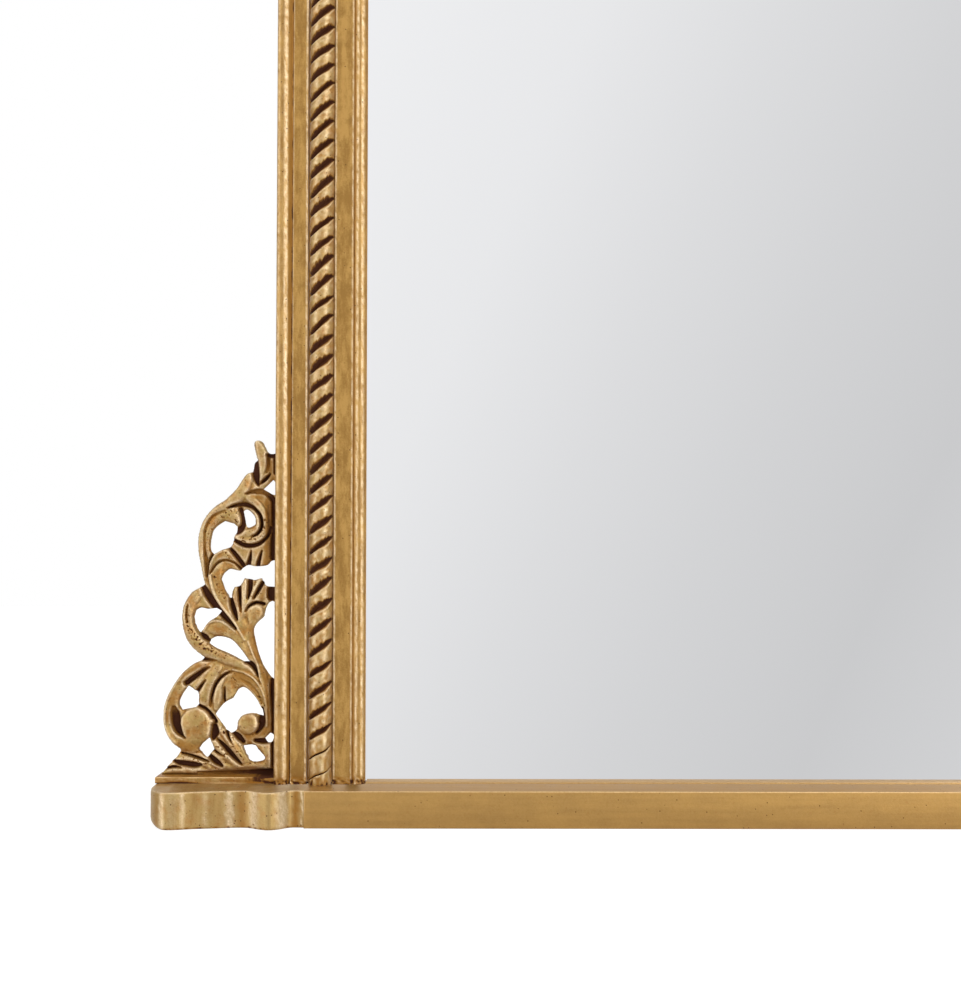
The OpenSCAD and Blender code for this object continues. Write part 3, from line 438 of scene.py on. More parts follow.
def rope_run(cut_places, seed, cut_ends, foot=False):
    """A straight rope along Z in section coordinates; the cuts lie at the given places."""
    chance = random.Random(seed)
    bm = bmesh.new()
    angles = [math.radians(-90 + 180 * i / 29) for i in range(30)]
    # Each cut: its place, and how fat, deep and bent it is.
    cuts = [(z, chance.uniform(0.85, 1.25), chance.uniform(0.85, 1.1), chance.uniform(-0.07, 0.07))
            for z in cut_places]
    if foot:
        # The lowest cuts are thinner, where the gouge could not swing.
        cuts = [(z, fat * min(1.0, max(0.2, (z - 18.0) / 46.0)), deep, bend) for z, fat, deep, bend in cuts]
    rows = []
    for k, (z, fat, deep, bend) in enumerate(cuts):
        above = cuts[k + 1] if k + 1 < len(cuts) else (z + ROPE_PITCH, fat, deep, bend)
        after, next_fat, next_deep, next_bend = above
        worn = max(0.0, 1.0 - z / WORN_BELOW) if foot else 0.3
        # Rows of the strand above this cut: its lower half, its middle, and the next cut's underside.
        plan = [("up", share, 0.0) for share in (0.0, 0.5, 1.0)] + [("up", 1.0, 0.8)]
        plan += [("mid", share, 0.0) for share in (0.1, 0.37, 0.63, 0.9)]
        plan += [("down", 1.0, 0.8)] + [("down", share, 0.0) for share in (1.0, 0.5)]
        for kind, share, beyond in plan:
            row = []
            for a in angles:
                q = math.sin(a)
                # A cut is broad for most of its way and runs out at both ends, the upper one pointed.
                # Near the foot the cuts lie flatter and wind more, and the leaf is more knocked about.
                lens = min(1.0, (1.02 + q) / 0.42) ** 0.6 * (1.0 - 0.62 * max(0.0, q) ** 6)
                half = CUT_HALF * lens
                ragged = 0.4 * ripple(q * 5.0, z * 0.31, seed)
                ragged += 0.45 * ripple(q * 15.0, z * 0.31, seed)
                sweep = (CUT_SWEEP - 1.5 * worn) * ((0.92 - 0.4 * worn) * q + (0.08 + 0.4 * worn) * q ** 3)
                this_z = z - sweep - ROPE_R * bend * math.sin(2.6 * q)
                next_z = after - sweep - ROPE_R * next_bend * math.sin(2.6 * q)
                top_of_cut = half * fat * (1.1 + ragged)
                foot_of_cut = 1.05 * half * next_fat
                if kind == "up":
                    place = this_z + top_of_cut * share + beyond
                    drop = CUT_DEPTH * deep * lens * (1.0 - share) + (0.5 if beyond else 0.8)
                    glaze_and_shade, rubbed_and_highlight = 0.62 if share > 0.9 else 0.95, 0.0
                    if beyond:
                        glaze_and_shade, rubbed_and_highlight = 0.16, 0.1
                elif kind == "down":
                    place = next_z - foot_of_cut * share - beyond
                    drop = CUT_DEPTH * next_deep * lens * (1.0 - share) + (0.4 if beyond else 0.7)
                    # The cut's lower lip is painted pale, a painted highlight along the crisp edge.
                    glaze_and_shade, rubbed_and_highlight = (0.15, 1.0) if share > 0.9 else (0.95, 0.0)
                    if beyond:
                        glaze_and_shade, rubbed_and_highlight = 0.0, 0.5
                else:
                    lo, hi = this_z + top_of_cut + 1.2, next_z - foot_of_cut - 1.2
                    place = lo + (hi - lo) * share
                    drop = 1.1 * (2 * share - 1) ** 2
                    fleck = ripple(q * 3.0, place * 0.3, seed + 3.0)
                    glaze_and_shade = max(0.0, -0.5 * worn * fleck)
                    # A pale band down each side of the strand is a painted highlight, with wear flecks over it.
                    streak = math.exp(-((abs(q) - 0.4) / 0.14) ** 2)
                    rubbed_and_highlight = max(0.0, 0.12 + 0.55 * streak + (0.7 + 0.6 * worn) * fleck)
                uneven = (0.35 + 0.45 * worn) * ripple(q * 3.0, place * 0.26, seed + 7.0)
                radius = min(ROPE_R - drop + uneven, ROPE_R)
                # Both sides of the rope are painted darker, painted shade where it turns down into the channel.
                edge = max(0.0, abs(q) - 0.6) / 0.4
                glaze_and_shade = max(glaze_and_shade * min(1.0, 0.4 + 1.6 * lens), 0.44 * edge ** 1.6)
                if foot and place < ROUGH_FOOT:
                    rubble = ripple(q * 4.0, place * 0.5, 31.0)
                    glaze_and_shade = max(glaze_and_shade, (1.0 - place / ROUGH_FOOT) * (0.5 + 1.6 * rubble))
                    radius -= 1.2 * max(0.0, rubble)
                # Higher up the rope is a little fuller and stands further out.
                fuller = min(1.0, max(0.0, place) / DRIFT_FULL) if foot else 1.0
                across = radius * q * (ROPE_HALF_W + 0.9 * fuller) / ROPE_R
                row.append((ROPE_LINE + 0.6 * fuller + across, ROPE_H + radius * math.cos(a), place,
                            glaze_and_shade, rubbed_and_highlight * min(1.0, 2.0 * lens)))
            row.append((ROPE_LINE + 8.0, CHANNEL_H, row[-1][2], 1.0, 0.0))
            row.append((ROPE_LINE - 8.0, CHANNEL_H, row[0][2], 1.0, 0.0))
            rows.append(row)
    glaze_and_shade_layer = bm.verts.layers.float.new("glaze_and_shade")
    rubbed_and_highlight_layer = bm.verts.layers.float.new("rubbed_and_highlight")
    previous = None
    for row in rows:
        ring = []
        for x, h, z, glaze_and_shade, rubbed_and_highlight in row:
            ring.append(bm.verts.new((x, h, z)))
            ring[-1][glaze_and_shade_layer], ring[-1][rubbed_and_highlight_layer] = glaze_and_shade, rubbed_and_highlight
        if previous:
            for i in range(len(ring)):
                j = (i + 1) % len(ring)
                bm.faces.new((previous[i], previous[j], ring[j], ring[i]))
        previous = ring
    for place, normal in ((cut_ends[0], -1.0), (cut_ends[1], 1.0)):
        cut = bmesh.ops.bisect_plane(bm, geom=list(bm.verts) + list(bm.edges) + list(bm.faces),
                                     plane_co=(0, 0, place), plane_no=(0, 0, normal), clear_outer=True)
        rim = [e for e in cut["geom_cut"] if isinstance(e, bmesh.types.BMEdge)]
        bmesh.ops.contextual_create(bm, geom=rim)
    return bm


# On the real rope the gouge strokes lie a little closer together higher up.
upright_cuts = [787.0 - 18.70 * k - 0.0215 * k * k for k in range(40, -5, -1)]
while upright_cuts[-1] <= SPRING_Z + 22:
    upright_cuts.append(upright_cuts[-1] + 18.7)
arch_run = ROPE_LINE * math.pi / 2
arch_cuts = [arch_run / 38 * (k + 0.5) for k in range(-2, 41)]
for side, flip in SIDES:
    bm = rope_run([z - BASE_H for z in upright_cuts], 3, (0.0, SPRING_Z - BASE_H), foot=True)
    stand_up(bm, BASE_H)
    add_piece(bm, "rope_twist_" + side, "rope_" + side, [rope_leaf], flip, angle=55)
    bm = rope_run(arch_cuts, 5, (0.0, arch_run))
    bmesh.ops.scale(bm, vec=(1.0, 1.0, 90.0 / arch_run), verts=bm.verts)
    bend_round(bm)
    add_piece(bm, "rope_twist_arch_" + side, "rope_arch_" + side, [rope_leaf], flip,
              angle=55)

# Base: a flat softwood rail with a serpentine block dowelled to each end, gilded like the frame. The
# front edges are slightly rounded and rubbed, and the block's outer end is rounded over more.
RAIL_HALF, BASE_HALF, Y_FRONT, Y_WALL = 476.0, 628.0, -39.5, 48.5
gilt_base = gilding("gilt_base_rubbed_leaf_with_painted_light", "a17b41", "b18949", "dcbc8c", 0.38, (0.06, 1.0, 1.0),
                    grain=1.3)
gilt_block = gilding("gilt_end_block_worn_leaf_with_painted_light", "9a7840", "b09056", "e2caa4", 0.40, (1.0, 1.0, 0.16),
                     (4.5, 0.6, 0.4), mottle=0.3, patchy=0.35, grain=1.7)
# The block's front line: how far out along it, as a share of its width, and how far past the rail.
SWELL, HOLLOW, BLOCK_W = 9.0, 3.0, 152.0
end_line = [(0, -HOLLOW), (0.08, -HOLLOW), (0.15, SWELL * 0.6), (0.21, SWELL), (0.27, SWELL * 0.65),
            (0.34, -HOLLOW * 0.3), (0.41, -HOLLOW * 0.8), (0.52, 0), (0.68, SWELL * 0.45),
            (0.82, SWELL), (0.91, SWELL * 0.5), (0.975, -SWELL), (1, -SWELL * 3)]


def smooth_line(points, steps):
    """A smooth curve through the points, as the carver's pencil line runs."""
    p = np.array(points, float)
    p = np.vstack([p[0], p, p[-1]])
    out = []
    for i in range(1, len(p) - 2):
        a, b, c, d = p[i - 1:i + 3]
        for s in range(steps):
            t = s / steps
            curve = (2 * a - 5 * b + 4 * c - d) * t * t + (3 * b - a - 3 * c + d) * t ** 3
            out.append(0.5 * (2 * b + (c - a) * t + curve))
    out.append(p[-2])
    return np.array(out)


def slab(outline, foot, top):
    """A flat board cut to an outline, standing from foot to top."""
    bm = bmesh.new()
    face = bm.faces.new([bm.verts.new((x, y, foot)) for x, y in outline])
    made = bmesh.ops.extrude_face_region(bm, geom=[face])["geom"]
    top_verts = [v for v in made if isinstance(v, bmesh.types.BMVert)]
    bmesh.ops.translate(bm, vec=(0, 0, top - foot), verts=top_verts)
    bmesh.ops.recalc_face_normals(bm, faces=bm.faces)
    return bm


def round_edges(bm, test, radius, segments):
    """Rounds over the edges that pass the test."""
    edges = [e for e in bm.edges if test(e)]
    bmesh.ops.bevel(bm, geom=edges, offset=radius, affect="EDGES", segments=segments, profile=0.5,
                    material=-1)


def marks_by(bm, rule):
    """Glaze and rubbing from a rule on each vertex's place and normal."""
    bm.normal_update()
    pairs = [rule(v.co, v.normal) for v in bm.verts]
    return {"glaze_and_shade": [p[0] for p in pairs], "rubbed_and_highlight": [p[1] for p in pairs]}


def bare_back(bm):
    """The wall side of the base was never gilded."""
    bm.normal_update()
    for face in bm.faces:
        face.material_index = 1 if face.normal.y > 0.9 or face.normal.z < -0.9 else 0


def slice_up(bm, axis, places):
    """Cuts the piece across at the given places, so that marks and waves have vertices to sit on."""
    normal = Vector((0, 0, 0))
    normal[axis] = 1.0
    for place in places:
        bmesh.ops.bisect_plane(bm, geom=list(bm.verts) + list(bm.edges) + list(bm.faces),
                               plane_co=normal * place, plane_no=normal)


def base_marks(co, normal):
    """The front's upper edge is painted pale, wear and a painted highlight; top and foot are a bit darker."""
    edge = max(0.0, 1.0 - abs(co.z - BASE_H) / 1.5) if normal.y < -0.2 and normal.z > 0.2 else 0.0
    top = 0.15 if normal.z > 0.9 else 0.0
    return max(0.2 * max(0.0, 1.0 - co.z / 2.0), top), min(1.0, edge + 0.1)


def board(x0, x1, y0, y1, foot, top):
    """A straight board between two ends, a front and a back."""
    return slab([(x0, y0), (x1, y0), (x1, y1), (x0, y1)], foot, top)


bm = board(-RAIL_HALF, RAIL_HALF, Y_FRONT, Y_WALL, 0.0, BASE_H)
round_edges(bm, lambda e: all(abs(v.co.y - Y_FRONT) < 0.01 for v in e.verts), 1.1, 3)
slice_up(bm, 0, [-RAIL_HALF + 8 * i for i in range(1, 119)])
bare_back(bm)
add_piece(bm, "base_rail_board", "base_rail", [gilt_base, raw_wood],
          marks=marks_by(bm, base_marks), in_glass=False)

# Painted highlights and painted shade in bands across the block's front, where its swells and hollows
# turn to the light and away, as shares of its width: (place, half width, strength).
PAINTED_HIGHLIGHT_BANDS = ((0.871, 0.018, 1.0), (0.806, 0.045, 0.3), (0.741, 0.014, 0.8), (0.605, 0.022, 0.45),
              (0.459, 0.024, 1.0), (0.306, 0.028, 1.1), (0.133, 0.03, 0.95), (0.011, 0.005, 1.1))
PAINTED_SHADE_BANDS = ((0.915, 0.02, 0.2), (0.675, 0.045, 0.13), (0.54, 0.04, 0.13), (0.385, 0.035, 0.28),
               (0.052, 0.024, 0.42))


def block_marks(co, normal):
    """Painted shade and highlights lie in bands on the block's front; its foot is darker, its top edge pale."""
    out = (co.x - RAIL_HALF) / BLOCK_W
    out += 0.014 * ripple(co.x * 0.2, 1.0, co.z * 0.22)
    glaze_and_shade, rubbed_and_highlight = base_marks(co, normal)
    if normal.z < 0.8:
        fleck = ripple(co.x * 0.5, 2.0, co.z * 0.35)
        for place, half, strength in PAINTED_HIGHLIGHT_BANDS:
            band = strength * math.exp(-((out - place) / half) ** 2)
            rubbed_and_highlight = max(rubbed_and_highlight, band * (0.85 + 0.8 * fleck))
        for place, half, strength in PAINTED_SHADE_BANDS:
            glaze_and_shade = max(glaze_and_shade, strength * math.exp(-((out - place) / half) ** 2))
        glaze_and_shade = max(glaze_and_shade, (0.3 + 1.5 * fleck) * max(0.0, 1.0 - co.z / 3.5))
    return glaze_and_shade, rubbed_and_highlight


block_line = [(RAIL_HALF + u * BLOCK_W, Y_FRONT - d) for u, d in smooth_line(end_line, 7)]
END_ROUND_FOOT, END_ROUND_TOP, END_TAPER = 9.0, 4.0, 2.4
for side, flip in SIDES:
    bm = slab(block_line + [(BASE_HALF, Y_WALL), (RAIL_HALF, Y_WALL)], 0.0, BASE_H)
    round_edges(bm, lambda e: abs(e.verts[0].co.z - e.verts[1].co.z) < 0.01
                and min(v.co.y for v in e.verts) < Y_WALL - 1
                and not all(v.co.x < RAIL_HALF + 0.1 for v in e.verts), 1.6, 3)
    slice_up(bm, 2, [2.6, 4.0, 6.0, 9.0, 13.0, 17.0, 21.0, 25.0, 29.0, 31.0, 32.4])
    slice_up(bm, 0, [RAIL_HALF + 4 * i for i in range(1, 38)])
    # The block's outer end is rounded over at its foot, a little at its top, and narrows to the front.
    for v in bm.verts:
        near_end = min(1.0, max(0.0, (v.co.x - 606.0) / 20.0))
        below = max(0.0, END_ROUND_FOOT - v.co.z) / END_ROUND_FOOT
        above = max(0.0, v.co.z - BASE_H + END_ROUND_TOP) / END_ROUND_TOP
        tuck = END_ROUND_FOOT * (1 - math.sqrt(1 - below ** 2))
        tuck += END_ROUND_TOP * (1 - math.sqrt(1 - above ** 2))
        v.co.x -= (tuck + END_TAPER * min(1.0, max(0.0, (24.0 - v.co.y) / 50.0))) * near_end
    bare_back(bm)
    add_piece(bm, "base_end_block_" + side, "base_end_" + side, [gilt_block, raw_wood],
              flip, angle=30, marks=marks_by(bm, block_marks))

# Sight sill: a thin gilded strip on the shelf, between the uprights and in front of the glass.
SILL_FRONT, SILL_BACK, SILL_H = 0.5, 18.5, 1.5
bm = board(-SIGHT_R, SIGHT_R, SILL_FRONT, SILL_BACK, BASE_H, BASE_H + SILL_H)
round_edges(bm, lambda e: all(abs(v.co.y - SILL_FRONT) < 0.01 and v.co.z > BASE_H + 1 for v in e.verts),
            0.5, 2)
slice_up(bm, 0, [-SIGHT_R + 10 * i for i in range(1, 84)])
add_piece(bm, "sight_sill_strip", "sight_sill", [gilt_base],
          marks=marks_by(bm, lambda co, n: (0.1, 0.5)), in_glass=False)

# Plinth bars: small strips that the carvings stand on, toned darker than the shelf, with glaze left
# in the joint below and beside the upright.
PLINTH_END, PLINTH_FRONT, PLINTH_BACK, PLINTH_H, PLINTH_MIDDLE = 626.0, 0.5, 30.5, 6.0, 562.0
gilt_plinth = gilding("gilt_plinth_toned_leaf_with_painted_light", "936733", "ad8144", "dfc08c", 0.38, (0.08, 1.0, 1.0),
                      (4.0, 0.5, 0.4), mottle=0.4, patchy=0.6, grain=1.5)


def plinth_marks(co, normal):
    """Glaze at the foot and by the frame; painted shade on top; a painted highlight on the upper edge."""
    patch = ripple(co.x * 0.05, 3.0, co.z * 0.5)
    speck = ripple(co.x * 0.3, 8.0, co.z * 0.5)
    low = max(0.0, 1.0 - (co.z - BASE_H) / 2.6)
    beside = max(0.0, 1.0 - (co.x - OUTER_R) / 40.0)
    # A dark streak lies in the joint near the bar's outer end, where dust gathers.
    streak = math.exp(-((co.x - 604.0) / 14.0) ** 2)
    glaze_and_shade = max(low * (0.3 + 1.0 * patch + 1.6 * streak), beside * (0.9 + 1.6 * patch + 0.9 * speck),
                0.1 + 0.5 * patch)
    # The top, under the carving, is painted darker: painted shade.
    if normal.z > 0.9:
        glaze_and_shade = max(glaze_and_shade, 0.45)
    # The front's upper edge is painted pale: a painted highlight.
    edge = 1.3 if normal.z > 0.2 and normal.y < -0.2 else 0.25 + 0.9 * speck
    # Its lower edge is rubbed too, in the middle of the bar.
    from_middle = abs(co.x - PLINTH_MIDDLE)
    edge = max(edge, low * (1.4 - from_middle / 22.0))
    wiped = min(1.0, max(0.0, low * (1.2 - from_middle / 24.0)))
    return glaze_and_shade * (1.0 - 0.8 * wiped), max(0.0, edge * (1.0 - 0.8 * beside))


for side, flip in SIDES:
    bm = board(OUTER_R, PLINTH_END, PLINTH_FRONT, PLINTH_BACK, BASE_H, BASE_H + PLINTH_H)
    round_edges(bm, lambda e: all(v.co.z > BASE_H + 5 for v in e.verts)
                or all(v.co.x > PLINTH_END - 1 for v in e.verts), 0.9, 3)
    slice_up(bm, 2, [BASE_H + 1.2, BASE_H + 2.4, BASE_H + 3.6])
    slice_up(bm, 0, [OUTER_R + 2 * i for i in range(1, 58)])
    add_piece(bm, "carving_plinth_bar_" + side, "carving_plinth_" + side, [gilt_plinth],
              flip, marks=marks_by(bm, plinth_marks))

# Carvings: a lime-wood ear of pierced scrolls and leaves beside each upright, pinned to it and standing
# on the plinth bar. It was sawn out, cut with gouges, gessoed and gilded, and dark glaze fills its cuts.
# It is drawn in units of 0.988 mm: U runs out from the frame and V up from the plinth bar.
UNIT, CARVING_X, CARVING_Z, CARVING_LEAN, Y_CARVING = 0.988, 511.0, 41.0, 0.0055, 26.5

ear_outline = [
    [(-3, 321), (5.8, 320), (9.8, 326), (12.2, 330.5), (15.5, 332.8), (18.9, 333), (21.3, 330.6),
     (21.1, 326), (18.9, 317)],
    [(18.2, 313.6), (21.4, 310.4), (22.4, 306), (23.2, 301.5)],
    [(25.4, 300.8), (28.4, 299.6), (32.1, 295.3), (38.8, 284.6), (45.5, 277.5), (50.6, 273.1),
     (59.2, 267.9), (66.1, 261), (72.4, 251.9), (75.8, 242.1), (77.5, 232.3), (77, 220.9),
     (74.7, 209.4), (73.2, 200.6), (70.8, 189.2)],
    [(76.6, 185.2), (83.3, 181.2), (88.6, 173.8), (92.3, 165.1), (93.3, 155.1), (92, 143.7),
     (88.6, 134), (83.4, 126.6), (77.4, 121.2), (71.4, 116.4)],
    [(73.7, 113.3), (82.1, 109.5), (92, 101.1), (99.7, 91.1), (106.6, 78.9), (110.4, 68.2),
     (111.6, 57.5), (111.2, 50.1), (108, 39.7), (101.7, 31), (94.8, 25.4)],
    [(94.6, 23), (98.2, 17.6), (103, 13.4)], [(103.4, 12), (108.6, 7)], [(108.8, 6), (114, 0)],
    [(-3, 0)],
]
ear_holes = [
    [[(2.2, 293.6), (-0.4, 290.4), (-3, 290)], [(-3, 279), (2.7, 278.8), (7.5, 281.4), (12, 284)]],
    [[(32.4, 262), (28.7, 263.8), (24.1, 261), (20.7, 256.4), (20.1, 250.7), (21.5, 248),
      (27.6, 245.8), (30, 250)]],
    [[(50.6, 252.2), (57.4, 247.8), (62, 242.7), (63.8, 236.4), (64.9, 229.5), (64.6, 223.7),
      (62, 218.6)], [(52.9, 223.7), (46, 226), (42.8, 229.5), (42.2, 234.6), (39.6, 240.4),
      (38.2, 246.7)], [(41.4, 249.6)]],
    [[(53.8, 193.9), (51.8, 199.3), (46.4, 204), (42.4, 204), (35.7, 202.6), (33, 205.3),
      (27.7, 208.2), (20, 207), (12.9, 207.3), (7.6, 208.6), (3.6, 212.6), (-3, 213)], [(-3, 186.4),
      (8.3, 187.2), (12.3, 191.9), (14.5, 195.2)], [(21, 193.2), (27, 194.4), (31, 195.2)],
     [(33, 190.6), (37, 187.2), (41.1, 186.5)], [(43.1, 181.9), (45.2, 175.2), (50.4, 183.9)]],
    [[(3.6, 172.5), (-3, 170)], [(-3, 94.2), (1.7, 94.2), (10.9, 106.5), (16.3, 119.5), (20.1, 134),
      (21.3, 141.7), (20.3, 147), (17, 151.7), (11.8, 156.4), (10.6, 160.2), (9.2, 166), (6.6, 170.8)]],
    [[(79.2, 163.1), (74.6, 165.6), (67.9, 164.4)], [(59.8, 165.1), (54.7, 162.2)], [(58.5, 156.8),
      (66.5, 151.7), (71.9, 144.4), (75.2, 140.9)], [(79.9, 148.4), (80.9, 157.1)]],
    [[(64.5, 134.3), (58.5, 137), (50.4, 136.3), (43.8, 134), (38.5, 129.4), (32.3, 121.8),
      (25.8, 112)], [(30.8, 112.2), (46.1, 120.2), (58.4, 125.6), (66, 130.6)]],
    [[(86.7, 88.1), (81.3, 84.3), (76.7, 79.7)], [(76.4, 70.5), (79, 67)], [(86, 65.6), (93.6, 63.9)],
     [(95.5, 68.2), (95, 74), (92, 80.4)]],
    [[(59.9, 59.8), (51.5, 70.5), (42.3, 75.8)], [(37, 84.6), (32.4, 86.6), (27, 84.3), (19.4, 75.8),
      (14, 65.1), (12.6, 57.5)], [(19, 60.4), (25.4, 61), (33, 58.6), (37.3, 53)], [(38.7, 44.5),
      (43.5, 41.3), (48.3, 43.7)]],
    [[(65.8, 36.5), (62.6, 29.4), (61.4, 25)], [(67.4, 17.6), (69, 17.6)], [(76.2, 25.4), (72.2, 31)]],
    [[(32.3, 28.6), (24.3, 29.4), (19.6, 28.6)], [(17.2, 24.6), (11, 18), (12.2, 14.2), (20.3, 12.6),
      (25.1, 14.2), (29, 20)]],
    [[(5.2, 41.3), (2.4, 38.1), (3.6, 32.5), (8.4, 31.7), (10.8, 35.7)]],
]
